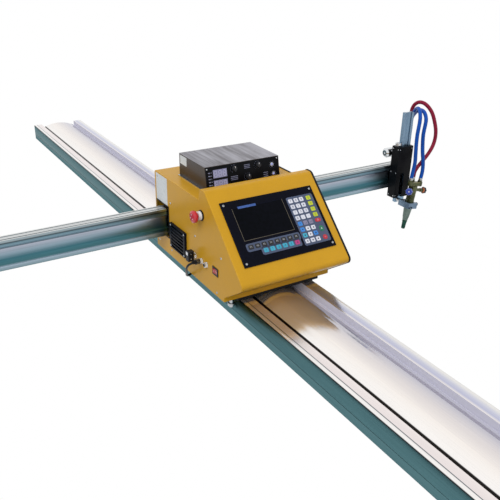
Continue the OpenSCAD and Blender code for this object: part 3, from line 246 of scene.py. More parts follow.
def copy_of(node_name):
    """A merged copy of a node's mesh in millimetres, with flat areas joined."""
    shape = bmesh.new()
    shape.from_mesh(NODES[node_name].data)
    bmesh.ops.scale(shape, vec=(1000, 1000, 1000), verts=shape.verts)
    bmesh.ops.remove_doubles(shape, verts=shape.verts, dist=0.01)
    bmesh.ops.dissolve_degenerate(shape, dist=0.005, edges=shape.edges)
    bmesh.ops.dissolve_limit(
        shape, angle_limit=math.radians(0.6), use_dissolve_boundaries=False,
        verts=shape.verts, edges=shape.edges, delimit={"NORMAL"},
    )
    return shape


def mesh_of(data):
    """The mesh that a curve or a text makes, and the end of the curve or text."""
    holder = bpy.data.objects.new("holder", data)
    bpy.context.scene.collection.objects.link(holder)
    bpy.context.view_layer.update()
    mesh = bpy.data.meshes.new_from_object(holder.evaluated_get(bpy.context.evaluated_depsgraph_get()))
    bpy.data.objects.remove(holder)
    bpy.data.curves.remove(data)
    return mesh


def written(text, size, place, thickness=0.12):
    """Plain digits or signs as a thin raised shape, centred on the place."""
    curve = bpy.data.curves.new("sign", "FONT")
    curve.body = text
    curve.size = size
    curve.extrude = thickness / 2
    curve.align_x = "CENTER"
    curve.align_y = "CENTER"
    curve.resolution_u = 3
    mesh = mesh_of(curve)
    shape = bmesh.new()
    shape.from_mesh(mesh)
    bpy.data.meshes.remove(mesh)
    bmesh.ops.remove_doubles(shape, verts=shape.verts, dist=0.001)
    bmesh.ops.transform(shape, matrix=place @ moved(0, 0, thickness / 2), verts=shape.verts)
    return shape


def finish_piece(name, shape, finishes, body, slot, nodes=(), sharp=38):
    """Turns a shape into a piece with its finishes, that rides on its body and stands for its nodes."""
    bmesh.ops.scale(shape, vec=(MM, MM, MM), verts=shape.verts)
    mesh = bpy.data.meshes.new(name)
    shape.to_mesh(mesh)
    shape.free()
    mesh.shade_smooth()
    mesh.set_sharp_from_angle(angle=math.radians(sharp))
    for finish in finishes:
        mesh.materials.append(FINISHES[finish])
    piece = bpy.data.objects.new(name, mesh)
    bpy.context.scene.collection.objects.link(piece)
    weighted = piece.modifiers.new("Even shading", "WEIGHTED_NORMAL")
    weighted.keep_sharp = True
    weighted.weight = 80
    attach(piece, body)
    if nodes:
        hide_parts(*nodes)


def stand_in(node_name, piece_name, shape, finishes, sharp=38):
    """Finishes a shape as the piece that one node is replaced by, on that node's body."""
    finish_piece(piece_name, shape, finishes, BODY_OF[node_name], SLOT_OF[node_name], [node_name], sharp)


def dress(node_name, piece_name, width, finishes, choose=None, sharp=38, segments=2):
    """Replaces a node by its copy with broken edges, and picks each face's finish by centre and normal."""
    shape = copy_of(node_name)
    shape.faces.ensure_lookup_table()
    soften(shape, width, segments)
    if choose:
        shape.normal_update()
        for face in shape.faces:
            face.material_index = choose(face.calc_center_median(), face.normal)
    stand_in(node_name, piece_name, shape, finishes, sharp)


def small_plate(name, low, high, edge, finish, slot, segments=2):
    """A piece of the carriage that is one thin block."""
    shape = bmesh.new()
    add_block(shape, low, high, None, 0, edge, segments)
    finish_piece(name, shape, [finish], "carriage", slot)


def small_screws(name, profile, places, body):
    """Plain screw heads on their places."""
    shape = bmesh.new()
    for place in places:
        add_spun(shape, profile, place, 0, 16)
    finish_piece(name, shape, ["bright_steel"], body, "bright_steel")


# Material helpers

def node(tree, kind, inputs=None, **settings):
    """Adds a shader node, with its settings, and inputs that are values or sockets to link from."""
    made = tree.nodes.new(kind)
    for key, value in settings.items():
        setattr(made, key, value)
    for key, value in (inputs or {}).items():
        if isinstance(value, bpy.types.NodeSocket):
            tree.links.new(value, made.inputs[key])
        else:
            made.inputs[key].default_value = value
    return made


def finish(
    name, light, dark, roughness, grain_mm, bump_mm, metallic=0.0, stretch=(1, 1, 1), coat=0.0,
    edge_wear_and_highlight=None, spread=(0.35, 0.65), uneven=0.08, detail=3.0, subsurface=0.0, mirror=0.5,
):
    """A surface of two close colours in a grain of a real size, uneven gloss, relief, and edges made lighter
    by wear or by a painted highlight.
    """
    material = bpy.data.materials.new("finish_" + name)
    FINISHES[name] = material
    material.use_nodes = True
    tree = material.node_tree
    shader = tree.nodes["Principled BSDF"]
    shader.inputs["Metallic"].default_value = metallic
    shader.inputs["Specular IOR Level"].default_value = mirror
    shader.inputs["Coat Weight"].default_value = coat
    shader.inputs["Coat Roughness"].default_value = 0.12
    shader.inputs["Subsurface Weight"].default_value = subsurface
    place = node(tree, "ShaderNodeTexCoord").outputs["Object"]
    place = node(tree, "ShaderNodeMapping", {"Vector": place, "Scale": stretch}).outputs["Vector"]
    grain = node(tree, "ShaderNodeTexNoise", {"Vector": place, "Scale": 1000 / grain_mm, "Detail": detail})
    broad = node(
        tree, "ShaderNodeTexNoise", {"Vector": place, "Scale": 1000 / (grain_mm * 24), "Detail": 2.0},
    ).outputs["Fac"]
    grain = grain.outputs["Fac"]
    mixed = node(tree, "ShaderNodeMath", {0: grain, 1: broad}, operation="ADD")
    share = node(
        tree, "ShaderNodeMapRange",
        {"Value": mixed.outputs[0], "From Min": 2 * spread[0], "From Max": 2 * spread[1]},
        interpolation_type="SMOOTHSTEP",
    )
    tints = {0: share.outputs["Result"], 6: linear(dark), 7: linear(light)}
    tint = node(tree, "ShaderNodeMix", tints, data_type="RGBA").outputs[2]
    # Lighter edges: wear on most finishes, and a painted highlight along the folds on the powder coat
    if edge_wear_and_highlight:
        edge = node(tree, "ShaderNodeAttribute", attribute_name="edge").outputs["Fac"]
        edge_wear_and_highlight_mask = node(tree, "ShaderNodeMath", {0: edge, 1: broad}, operation="MULTIPLY")
        tints = {0: edge_wear_and_highlight_mask.outputs[0], 6: tint, 7: linear(edge_wear_and_highlight)}
        tint = node(tree, "ShaderNodeMix", tints, data_type="RGBA").outputs[2]
    tree.links.new(tint, shader.inputs["Base Color"])
    gloss = node(
        tree, "ShaderNodeMapRange",
        {"Value": broad, "To Min": roughness - uneven, "To Max": roughness + uneven},
    )
    tree.links.new(gloss.outputs["Result"], shader.inputs["Roughness"])
    relief = node(tree, "ShaderNodeBump", {"Height": grain, "Strength": 0.5, "Distance": bump_mm * MM})
    tree.links.new(relief.outputs["Normal"], shader.inputs["Normal"])
    return material


def repaint(material, colour, shade=0.9):
    """Gives both tints of a finish a colour from the settings."""
    mix = [n for n in material.node_tree.nodes if n.bl_idname == "ShaderNodeMix"][0]
    mix.inputs[7].default_value = colour
    mix.inputs[6].default_value = (*(c * shade for c in colour[:3]), 1.0)


def banded(material, axis, low_mm, high_mm, bands):
    """Lays bands of colour across a finish, from their heights in millimetres along one axis."""
    tree = material.node_tree
    shader = tree.nodes["Principled BSDF"]
    under = shader.inputs["Base Color"].links[0].from_socket
    place = node(tree, "ShaderNodeTexCoord").outputs["Object"]
    along = node(tree, "ShaderNodeSeparateXYZ", {0: place}).outputs[axis]
    share = node(
        tree, "ShaderNodeMapRange", {"Value": along, "From Min": low_mm * MM, "From Max": high_mm * MM},
    )
    ramp = node(tree, "ShaderNodeValToRGB", {0: share.outputs["Result"]})
    stops = ramp.color_ramp.elements
    for index, (height, code) in enumerate(bands):
        at = (height - low_mm) / (high_mm - low_mm)
        stop = stops[index] if index < 2 else stops.new(at)
        stop.position = at
        stop.color = linear(code)
    tint = node(
        tree, "ShaderNodeMix", {0: 1.0, 6: ramp.outputs["Color"], 7: under},
        data_type="RGBA", blend_type="MULTIPLY",
    )
    tree.links.new(tint.outputs[2], shader.inputs["Base Color"])


def make_finishes(colours):
    """Makes every finish of the machine. Colours are as the eye sees them under even light, apart from the
    painted light and shade on the rail, the beam's face and the height controller's lid, and the painted edge
    highlight on the powder coat.
    """
    # Extruded profiles are drawn out along their run, so their grain is stretched along it
    along_x, along_y, along_z = (0.012, 1, 1), (1, 0.012, 1), (1, 1, 0.02)
    # Polyester powder coat on folded steel: a faint orange peel, and a painted highlight that lightens the
    # folds and edges
    paint = finish(
        "yellow_powder_coat", "#d3a02a", "#c59122", 0.36, 3.0, 0.04, coat=0.04, edge_wear_and_highlight="#e0b545", mirror=0.2,
    )
    repaint(paint, colours.housing, 0.93)
    # Clear anodised aluminium, extruded: fine die lines along the run and a pale satin shine
    rail = finish(
        "rail_bright_anodised", "#fbf8f5", "#f3f0ee", 0.17, 2.2, 0.004, metallic=0.84, stretch=along_y,
        uneven=0.03,
    )
    # Painted shade and reflection: the sides, ends and underside in a darker teal-grey than the top
    finish("rail_side_anodised", "#567b81", "#4a6e74", 0.42, 2.0, 0.012, metallic=1.0, stretch=along_y)
    # Across the rail, painted light and shade: painted shade lines at the left edge and in the left ridge's
    # groove, a painted shadow along the crown's left foot, and painted reflections that take the crown from
    # cream to cooler lavender and on over the right ridge
    banded(rail, "X", -128, 128, [
        (-127, "#20282c"), (-125.5, "#ffffff"), (-115.5, "#fbfafa"), (-114.5, "#5a666e"), (-113, "#5a666e"),
        (-112, "#f4edee"), (-86, "#f7f1f1"),
        (-85, "#1a1715"), (-68, "#1a1715"),
        (-66, "#ffffff"), (-25, "#fdf9f6"), (8, "#ebe7e8"), (50, "#c9c9d6"),
        (90, "#f1eef0"), (98, "#c6cae4"), (108, "#d3d7ea"), (120, "#f2f3f3"),
    ])
    # Shaded flank and slot on the right, and the line groove along each side
    finish("rail_slot_shade", "#d3d2de", "#c8c7d4", 0.7, 2.2, 0.004, stretch=along_y, mirror=0.2)
    finish("rail_line_groove", "#c2b6bf", "#b5a9b3", 0.6, 2.2, 0.004, stretch=along_y, mirror=0.2)
    # Up the beam's face, painted reflections and shade in bands, bluish where it curves: lower lip, painted
    # shade in the hollow, a pale painted reflection on the bulge, painted shade in the groove, and top lip
    beam = finish("beam_face_anodised", "#ffffff", "#e6e6e6", 0.3, 2.0, 0.012, metallic=1.0, stretch=along_x)
    banded(beam, "Z", 152, 243, [
        (152, "#7d979f"), (165, "#a9bccb"), (170, "#4a757d"), (184, "#437480"), (200, "#8fa5b3"),
        (217, "#b4bac9"), (220, "#5d6872"), (224, "#84a0b0"), (231, "#728f9c"), (234, "#3c474d"),
        (238, "#a5b4bb"),
    ])
    finish("beam_top_anodised", "#dedfdd", "#b9bdbf", 0.3, 3.0, 0.012, metallic=1.0, stretch=along_x)
    finish(
        "lift_bar_anodised", "#86a0b6", "#6f899f", 0.34, 1.6, 0.012, metallic=1.0, stretch=along_z,
        edge_wear_and_highlight="#b9c6cf",
    )
    # Milled and oiled gear steel, and black oxide screws
    finish("gear_steel", "#6c6f72", "#4b4e51", 0.38, 1.2, 0.02, metallic=1.0, edge_wear_and_highlight="#9a9da0")
    finish("black_oxide", "#2b2c2f", "#1b1c1e", 0.4, 0.8, 0.01, metallic=1.0, edge_wear_and_highlight="#77797c")
    # Turned and ground steel, zinc plated: round cuts read as fine mottling at this size
    finish("bright_steel", "#c4c7ca", "#a9adb1", 0.24, 0.9, 0.01, metallic=1.0, edge_wear_and_highlight="#e2e4e6")
    finish("polished_chrome", "#e6e8ea", "#d3d6d9", 0.1, 4.0, 0.004, metallic=1.0, uneven=0.04)
    # Cast zinc clamp with a tumbled skin
    finish("clamp_alloy", "#8298ad", "#5b6d81", 0.36, 1.4, 0.03, metallic=1.0, edge_wear_and_highlight="#b3c0cf")
    # Nickel plate dulled by the flame's heat
    finish("torch_nickel", "#7d8b85", "#56655f", 0.3, 1.8, 0.012, metallic=1.0, edge_wear_and_highlight="#c0cbc6")
    # Turned brass gone brown-olive with heat and handling
    finish("torch_brass", "#65694c", "#2f3529", 0.3, 2.6, 0.02, metallic=1.0, edge_wear_and_highlight="#a89f72")
    # Copper: green with verdigris at the nozzle, bright at the valve
    finish("nozzle_copper", "#33594b", "#22423a", 0.34, 1.6, 0.02, metallic=1.0, edge_wear_and_highlight="#8a5a3c")
    finish("valve_copper", "#c97f5c", "#a8603f", 0.28, 1.4, 0.01, metallic=1.0, edge_wear_and_highlight="#e2a684")
    # Nitrile rubber: dull black with a soft bloom
    finish("black_rubber", "#1d1d1f", "#131314", 0.62, 1.5, 0.05, edge_wear_and_highlight="#2a2a2c", mirror=0.2)
    # Moulded ABS with a fine spark texture, and glossy where it is coloured
    finish("black_abs", "#16171b", "#0d0e11", 0.42, 0.9, 0.03, edge_wear_and_highlight="#3b3d45", mirror=0.2)
    finish("navy_abs", "#12151f", "#0a0c14", 0.42, 0.9, 0.03, edge_wear_and_highlight="#1d2130", mirror=0.08)
    finish("knob_abs", "#26272c", "#17181b", 0.4, 0.7, 0.03, edge_wear_and_highlight="#5e6069", mirror=0.3)
    finish("red_abs", "#cf2233", "#b41a2b", 0.24, 5.0, 0.01, coat=0.3, edge_wear_and_highlight="#e76873")
    repaint(FINISHES["red_abs"], colours.stop_button, 0.85)
    finish("red_lens", "#b51c1c", "#8b1212", 0.2, 4.0, 0.01, coat=0.4, edge_wear_and_highlight="#e58a80")
    finish("white_abs", "#e9e9ec", "#dcdce0", 0.34, 2.0, 0.01, edge_wear_and_highlight="#f7f7f9")
    finish("blue_abs", "#3d52b4", "#26357e", 0.3, 2.0, 0.01, coat=0.3, edge_wear_and_highlight="#a5b5ee")
    # Machined nylon: waxy, and light goes a little way in
    finish("nylon", "#dcd9c8", "#c9c5b2", 0.5, 1.5, 0.02, subsurface=0.08)
    # Powder coat on the lift box and the motors, enamel on the brackets and the height controller
    finish("black_powder_coat", "#0f1115", "#08090c", 0.36, 1.6, 0.04, edge_wear_and_highlight="#2a2d35", mirror=0.08)
    finish("grey_enamel", "#6e7276", "#5a5e62", 0.45, 2.0, 0.03, edge_wear_and_highlight="#8b8f93")
    finish("case_side_enamel", "#33251d", "#241a14", 0.36, 1.8, 0.03, coat=0.1, edge_wear_and_highlight="#6b5a4e", mirror=0.3)
    # Lid with a glossy lacquer, made lighter than the dark sides by a painted reflection: long pale and dark
    # streaks of painted reflection along a brushed grain
    finish(
        "lid_brushed_lacquer", "#9c9ba5", "#524e56", 0.28, 15.0, 0.01, metallic=0.85, stretch=(1, 0.09, 1),
        spread=(0.36, 0.62), edge_wear_and_highlight="#8d8a90", detail=4.0,
    )
    # Printed polyester key film: satin with a fine emboss
    finish("panel_film", "#0d0f1c", "#080a13", 0.24, 6.0, 0.005, edge_wear_and_highlight="#232740", mirror=0.05)
    finish("film_slate", "#46536f", "#3a4662", 0.3, 1.2, 0.01, edge_wear_and_highlight="#69769a")
    for name, light, dark in [
        ("key_white", "#e4e6f0", "#cfd2e0"), ("key_lime", "#c9d534", "#b0bd28"),
        ("key_blue", "#3f8fe2", "#2f7acb"), ("key_cyan", "#41aecb", "#3399b7"),
        ("key_magenta", "#c8478f", "#ae3678"), ("key_red", "#cf2c3f", "#b02032"),
        ("key_green", "#1f7a56", "#176347"), ("key_black", "#0f1116", "#07080b"),
        ("key_grey", "#8f8ca8", "#787592"), ("mark_dark", "#1b1d2b", "#12131d"),
        ("mark_pale", "#c9cbd3", "#b3b5be"),
    ]:
        finish(name, light, dark, 0.36, 1.0, 0.01)
    # Glass over an unlit display, with finger smears that dull it in places
    finish("display_glass", "#080a12", "#04060a", 0.16, 9.0, 0.0, uneven=0.09, mirror=0.04)
    finish("display_frame", "#6b6455", "#585246", 0.3, 3.0, 0.01, metallic=0.6)
    finish("header_blue", "#3a5fa6", "#2c4c8c", 0.35, 4.0, 0.01)
    # Lamp and display windows, the printed ticks beside them, and blank vinyl labels
    finish("led_window", "#9a9cc4", "#8284ab", 0.3, 2.5, 0.01, coat=0.3)
    finish("led_segment", "#c8caeb", "#b5b7da", 0.35, 1.2, 0.01)
    finish("lamp_lens", "#c5cdfb", "#8f9bf0", 0.18, 3.0, 0.01, coat=0.4)
    finish("legend_print", "#8f93ad", "#6d7190", 0.45, 1.0, 0.005)
    finish("blank_label", "#dfe4e6", "#ced4d8", 0.42, 6.0, 0.01)
    # Plated sheet steel of the power supply
    finish("supply_case", "#a7abae", "#8f9396", 0.4, 3.0, 0.02, metallic=1.0)
    # Extruded hose rubber, matt, with the print of the wrapped cure as a faint grain
    for gas in ("oxygen", "fuel"):
        rubber = finish(gas + "_hose_rubber", "#1c55c0", "#12429f", 0.4, 1.6, 0.06, coat=0.05, mirror=0.2)
        repaint(rubber, getattr(colours, gas + "_hose"), 0.8)
    finish("cable_jacket", "#17171a", "#0f0f11", 0.45, 1.0, 0.02, mirror=0.3)


# Routes of the hoses and of the signal cable, in millimetres

BLUE_LEFT_ROUTE = [
    (769, -234, 216), (773, -234, 240), (775, -236, 275), (771, -237, 312), (769, -236, 349),
    (769.5, -235, 385), (776.6, -231.6, 426.1), (784.7, -222.4, 445.7), (794.7, -207.7, 458.7),
    (804.8, -190.8, 463), (813.7, -173.4, 458.7), (820.4, -157.7, 445.7), (823.5, -146.8, 426.1),
    (822.5, -142.5, 404),
]
BLUE_RIGHT_ROUTE = [
    (818, -234, 208.2), (822, -234, 235), (820, -233, 270), (813, -231, 306), (808, -230, 342),
    (806, -229, 378), (812.7, -226.9, 421.4), (819.1, -217.3, 437.6), (825.9, -201.6, 448.4),
    (831.8, -183.2, 452), (836.2, -164.3, 448.4), (838.5, -146.9, 437.6), (838.2, -134.6, 421.4),
    (835.5, -129.5, 404),
]
RED_ROUTE = [
    (848.5, -116.5, 404), (845.8, -116.2, 430.2), (845.7, -123.1, 453.5), (848.5, -136.5, 468.9),
    (853.2, -153.2, 474), (859.5, -171.5, 468.9), (866.6, -189.2, 453.5), (873.2, -202.8, 430.2),
    (884, -213, 384), (887, -214, 346), (876, -215, 313), (853, -217, 286), (830, -217, 265),
    (812, -216.5, 247), (801.1, -216, 230.5), (798, -216, 211.5),
]
HOSE_PORTS = [BLUE_LEFT_ROUTE[-1], BLUE_RIGHT_ROUTE[-1], RED_ROUTE[0]]
CABLE_ROUTE = [
    (-216, -370, 161), (-226, -367, 156), (-228, -356, 143), (-220, -336, 122),
    (-208, -312, 100), (-196, -288, 80), (-182, -266, 64), (-166, -250, 56),
    (-154, -243, 60), (-150, -242, 72), (-150, -242, 86),
]


def smoothed(route, parts=3):
    """Points on a smooth curve through a route, in metres."""
    points = [Vector(p) * MM for p in route]
    points = [2 * points[0] - points[1], *points, 2 * points[-1] - points[-2]]
    made = []
    for a, b, c, d in zip(points, points[1:], points[2:], points[3:]):
        for i in range(parts):
            t = i / parts
            made.append(0.5 * (2 * b + (c - a) * t + (2 * a - 5 * b + 4 * c - d) * t * t
                               + (3 * b - 3 * c + d - a) * t ** 3))
    made.append(points[-2])
    return made


def cord_piece(name, path, diameter, material):
    """A round cord as a mesh, along points in metres."""
    curve = bpy.data.curves.new(name, "CURVE")
    curve.dimensions = "3D"
    curve.bevel_depth = diameter / 2
    curve.bevel_resolution = 5
    curve.use_fill_caps = True
    spline = curve.splines.new("POLY")
    spline.points.add(len(path) - 1)
    for point, place in zip(spline.points, path):
        point.co = (*place, 1.0)
    mesh = mesh_of(curve)
    mesh.name = name
    mesh.shade_smooth()
    mesh.set_sharp_from_angle(angle=math.radians(50))
    mesh.materials.clear()
    mesh.materials.append(FINISHES[material])
    piece = bpy.data.objects.new(name, mesh)
    bpy.context.scene.collection.objects.link(piece)
    return piece


# Operators, one for each piece or group of like pieces, each after the functions that it calls

VIEW_LENS = 47.27
VIEW_FROM = (-0.9762, -1.9018, 1.0154)
VIEW_AHEAD = (0.478, 0.7663, -0.4294)
VIEW_ROLL = math.radians(1.2)


class CUTTER_OT_camera(bpy.types.Operator):
    """Place the camera at the reference view"""

    bl_idname = "cutter.camera"
    bl_label = "Camera"

    def execute(self, context):
        data = bpy.data.cameras.new("camera")
        data.sensor_width = 36.0
        data.lens = VIEW_LENS
        data.clip_start = 0.05
        data.clip_end = 60.0
        camera = bpy.data.objects.new("camera", data)
        context.scene.collection.objects.link(camera)
        ahead = Vector(VIEW_AHEAD).normalized()
        right = ahead.cross(Vector((0, 0, 1))).normalized()
        up = right.cross(ahead)
        across = right * math.cos(VIEW_ROLL) + up * math.sin(VIEW_ROLL)
        above = up * math.cos(VIEW_ROLL) - right * math.sin(VIEW_ROLL)
        turn = Matrix((across, above, -ahead)).transposed().to_4x4()
        camera.matrix_world = Matrix.Translation(VIEW_FROM) @ turn
        context.scene.camera = camera
        return {"FINISHED"}


class CUTTER_OT_finishes(bpy.types.Operator):
    """Make the finishes, and give every carried-over node its own"""

    bl_idname = "cutter.finishes"
    bl_label = "Finishes"

    def execute(self, context):
        make_finishes(context.scene.cutter_colours)
        kept = {
            "gear_steel": ["rail_rack", "beam_rack", "rail_pinion", "beam_pinion"],
            "black_oxide": ["rack_screws"],
            "bright_steel": [
                "wheel_mounts", "beam_roller_left", "beam_roller_right", "front_wheelset", "rear_wheelset",
            ],
            "nylon": ["beam_slide_pads"],
            "grey_enamel": ["beam_brackets", "controller_case"],
            "black_powder_coat": ["drive_motors"],
            "supply_case": ["power_electronics"],
            "black_abs": ["fan_frame"],
            "knob_abs": ["fan_rotor"],
        }
        for finish_name, nodes in kept.items():
            for name in nodes:
                holder = NODES[name]
                if not holder.material_slots:
                    holder.data.materials.append(FINISHES[finish_name])
                for place in holder.material_slots:
                    place.material = FINISHES[finish_name]
        return {"FINISHED"}


class CUTTER_OT_hoses(bpy.types.Operator):
    """Make the three gas hoses and the signal cable on their routes"""

    bl_idname = "cutter.hoses"
    bl_label = "Hoses and cable"

    def execute(self, context):
        diameter = context.scene.cutter_sizes.hose_diameter
        for name, route, material in [
            ("hose_blue_left", BLUE_LEFT_ROUTE, "oxygen_hose_rubber"),
            ("hose_blue_right", BLUE_RIGHT_ROUTE, "oxygen_hose_rubber"),
            ("hose_red", RED_ROUTE, "fuel_hose_rubber"),
        ]:
            path = smoothed(route)
            hose = cord_piece(name, path, diameter, material)
            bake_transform(hose)
            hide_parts("gas_hoses")
        path = smoothed(CABLE_ROUTE)
        cable = cord_piece("signal_lead", path, 0.007, "cable_jacket")
        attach(cable, "carriage")
        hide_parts("signal_cable")
        return {"FINISHED"}


def seen_rays(tree, *kinds):
    """One for a ray of any of these kinds and otherwise nought, so that such rays see plain white."""
    path = node(tree, "ShaderNodeLightPath")
    seen = path.outputs[kinds[0]]
    for kind in kinds[1:]:
        seen = node(tree, "ShaderNodeMath", {0: seen, 1: path.outputs[kind]}, operation="MAXIMUM").outputs[0]
    return seen


def floor_paint():
    """A matt grey floor that the camera and reflections see as plain white."""
    material = bpy.data.materials.new("floor_paint")
    material.use_nodes = True
    tree = material.node_tree
    shader = tree.nodes["Principled BSDF"]
    shader.inputs["Base Color"].default_value = linear("#a4a4a4")
    shader.inputs["Roughness"].default_value = 0.8
    shader.inputs["Specular IOR Level"].default_value = 0.0
    seen = seen_rays(tree, "Is Camera Ray", "Is Glossy Ray")
    glow = node(tree, "ShaderNodeEmission", {"Color": (1, 1, 1, 1), "Strength": 1.0})
    mix = node(tree, "ShaderNodeMixShader", {0: seen, 1: shader.outputs[0], 2: glow.outputs[0]})
    out = [n for n in tree.nodes if n.bl_idname == "ShaderNodeOutputMaterial"][0]
    tree.links.new(mix.outputs[0], out.inputs["Surface"])
    return material


class CUTTER_OT_stage(bpy.types.Operator):
    """Lay the pale floor and set the studio light"""

    bl_idname = "cutter.stage"
    bl_label = "Floor and light"

    def execute(self, context):
        light = context.scene.cutter_light
        bpy.ops.mesh.primitive_plane_add(size=60, location=(0, 0, -0.0006))
        floor = context.object
        floor.name = "floor"
        floor.data.materials.append(floor_paint())
        world = bpy.data.worlds.new("studio")
        context.scene.world = world
        world.use_nodes = True
        tree = world.node_tree
        tree.nodes.clear()
        seen = seen_rays(tree, "Is Camera Ray", "Is Glossy Ray", "Is Transmission Ray")
        lit = node(tree, "ShaderNodeBackground", {"Color": (1, 1, 1, 1), "Strength": light.sky})
        white = node(tree, "ShaderNodeBackground", {"Color": (1, 1, 1, 1), "Strength": 1.0})
        mix = node(tree, "ShaderNodeMixShader", {0: seen, 1: lit.outputs[0], 2: white.outputs[0]})
        node(tree, "ShaderNodeOutputWorld", {"Surface": mix.outputs[0]})
        key = bpy.data.lights.new("key", "SUN")
        key.energy = light.key
        key.angle = light.key_spread
        lamp = bpy.data.objects.new("key", key)
        lamp.rotation_euler = Vector((-0.52, -0.45, 0.72)).to_track_quat("Z", "Y").to_euler()
        lamp.visible_glossy = False
        context.scene.collection.objects.link(lamp)
        context.scene.view_settings.view_transform = "Standard"
        return {"FINISHED"}


class CUTTER_OT_rail(bpy.types.Operator):
    """Dress the rail extrusion: bright running surfaces with painted light and shade, sides in a painted teal
    shade, and slots in painted shade
    """

    bl_idname = "cutter.rail"
    bl_label = "Rail"

    def execute(self, context):
        finishes = [
            "rail_bright_anodised", "rail_side_anodised", "black_oxide", "rail_slot_shade",
            "rail_line_groove",
        ]

        def choose(centre, normal):
            """Painted shade in the left slot, shaded right flank, the sides' line grooves, bright top,
            painted teal shade on the rest.
            """
            if abs(normal.y) > 0.9:
                return 1
            # Painted shade: black oxide on the aluminium at the foot of the left slot
            if centre.z < 53 and -89 < centre.x < -83:
                return 2
            if 72 < centre.x < 89 and centre.z > 40:
                return 3
            if 120 < abs(centre.x) < 127.6 and centre.z < 60:
                return 4
            return 0 if centre.z > 50 and abs(centre.x) < 128.3 else 1

        dress("rail_extrusion", "rail_profile", 0.5, finishes, choose, sharp=30)
        return {"FINISHED"}


# Outer face of the side panels, and the height of the switch and the sockets on the left one
SIDE = 184
SOCKET_ROW = 161
# The slope of the console with Z out of it, and the face of its panel
ON_SLOPE = moved(0, -384, 379.5) @ turned(43.73, "X")
PANEL_FACE = 4.0
ACROSS_LEFT = turned(-90, "Y")


def edge_bead():
    """The lip of the right edge trim, wrapped onto the cover from the top's back to the nose's underside."""
    shape = bmesh.new()
    add_block(shape, (179.6, -351, 342), (186.3, -48, 345.3), None, 0, 0.5)
    corners = [Vector(p) for p in ((-351, 344), (-357, 379.5), (-384, 379.5), (-603, 170), (-499, 98))]
    corner_radii = {1: 8, 2: 18, 3: 14}
    along = (corners[1] - corners[0]).normalized()
    out = Vector((along.y, -along.x))
    section = [(179.6, -0.6), (179.6, 0.5), (180.4, 1.3), (185.4, 1.3), (186.3, 0.4), (186.3, -3)]
    section.append((184.2, -3))
    bead = bmesh.new()
    verts = [bead.verts.new((x, *(corners[0] + rise * out))) for x, rise in section]
    bead.faces.new(verts)

    def run(front, shift):
        """Draws the section's outline straight on, and gives the outline at its new place."""
        made = bmesh.ops.extrude_edge_only(bead, edges=of_kind(front, bmesh.types.BMEdge))["geom"]
        moving = of_kind(made, bmesh.types.BMVert)
        bmesh.ops.translate(bead, verts=moving, vec=(0, *shift))
        return moving + [e for e in of_kind(made, bmesh.types.BMEdge) if all(v in moving for v in e.verts)]

    front = list(bead.verts) + list(bead.edges)
    here = corners[0]
    for index, radius in corner_radii.items():
        before = (corners[index - 1] - corners[index]).normalized()
        after = (corners[index + 1] - corners[index]).normalized()
        half = before.angle(after) / 2
        arrive = corners[index] + before * radius / math.tan(half)
        front = run(front, arrive - here)
        centre = corners[index] + (before + after).normalized() * radius / math.sin(half)
        front = bmesh.ops.spin(
            bead, geom=front, axis=(1, 0, 0), cent=(0, *centre), angle=math.pi - 2 * half, steps=6,
            use_merge=False, use_duplicate=False,
        )["geom_last"]
        here = corners[index] + after * radius / math.tan(half)
    front = run(front, corners[-1] - here)
    bmesh.ops.contextual_create(bead, geom=of_kind(front, bmesh.types.BMEdge))
    add(shape, bead)
    finish_piece("right_edge_bead", shape, ["black_rubber"], "carriage", SLOT_OF["edge_trims"])


def wipe_cord():
    """The round rubber cord in the slot of the front wiper."""
    shape = bmesh.new()
    profile = [(0, 147), (4.6, 147), (5.7, 145.9), (5.7, -136.9), (4.6, -138), (0, -138)]
    add_spun(shape, profile, moved(0, -493, 78.8) @ turned(90, "Y"), 0, 24)
    finish_piece("front_wipe_cord", shape, ["black_rubber"], "carriage", SLOT_OF["rail_wiper"])


def housing_screws():
    """Domed heads with a cross recess, on both sides and at the panel's corners."""
    shape = bmesh.new()
    side = [(278, 222), (434, 215), (112, 107), (410, 96), (112, 268), (20, 110), (20, 330)]
    places = [
        moved(sign * SIDE, -48 - u, z) @ turned(sign * 90, "Y") for u, z in side for sign in (-1, 1)
    ]
    places += [ON_SLOPE @ moved(x, -t, PANEL_FACE) for x in (-146, 146) for t in (55, 234)]
    for place in places:
        dome = [(0, 1.9), (1.4, 1.85), (2.6, 1.5), (3.3, 0.8), (3.5, 0.02), (0, 0.02)]
        add_spun(shape, dome, place, 0, 20)
        for turn in (20, 110):
            add_block(shape, (-1.5, -0.35, 1.7), (1.5, 0.35, 1.97), place @ turned(turn, "Z"), 1)
    stand_in("housing_screws", "housing_screw_heads", shape, ["bright_steel", "black_oxide"])


class CUTTER_OT_housing(bpy.types.Operator):
    """Dress the folded sheets of the housing, its trims, its wiper and its screws"""

    bl_idname = "cutter.housing"
    bl_label = "Housing"

    def execute(self, context):
        edge = context.scene.cutter_sizes.sheet_edge
        for name in ["base_tray", "side_panel_left", "side_panel_right", "console_cover", "rear_cover"]:
            dress(name, name + "_painted", edge, ["yellow_powder_coat"])
        dress("edge_trims", "edge_trims_rubber", 0.4, ["black_rubber"])
        edge_bead()
        dress("rail_wiper", "rail_wiper_rubber", 0.6, ["black_rubber"])
        wipe_cord()
        housing_screws()
        small_plate(
            "side_plate_blank", (-184.35, -139, 250), (-SIDE, -58, 340), 0.15, "blank_label", "key_film", 1,
        )
        return {"FINISHED"}


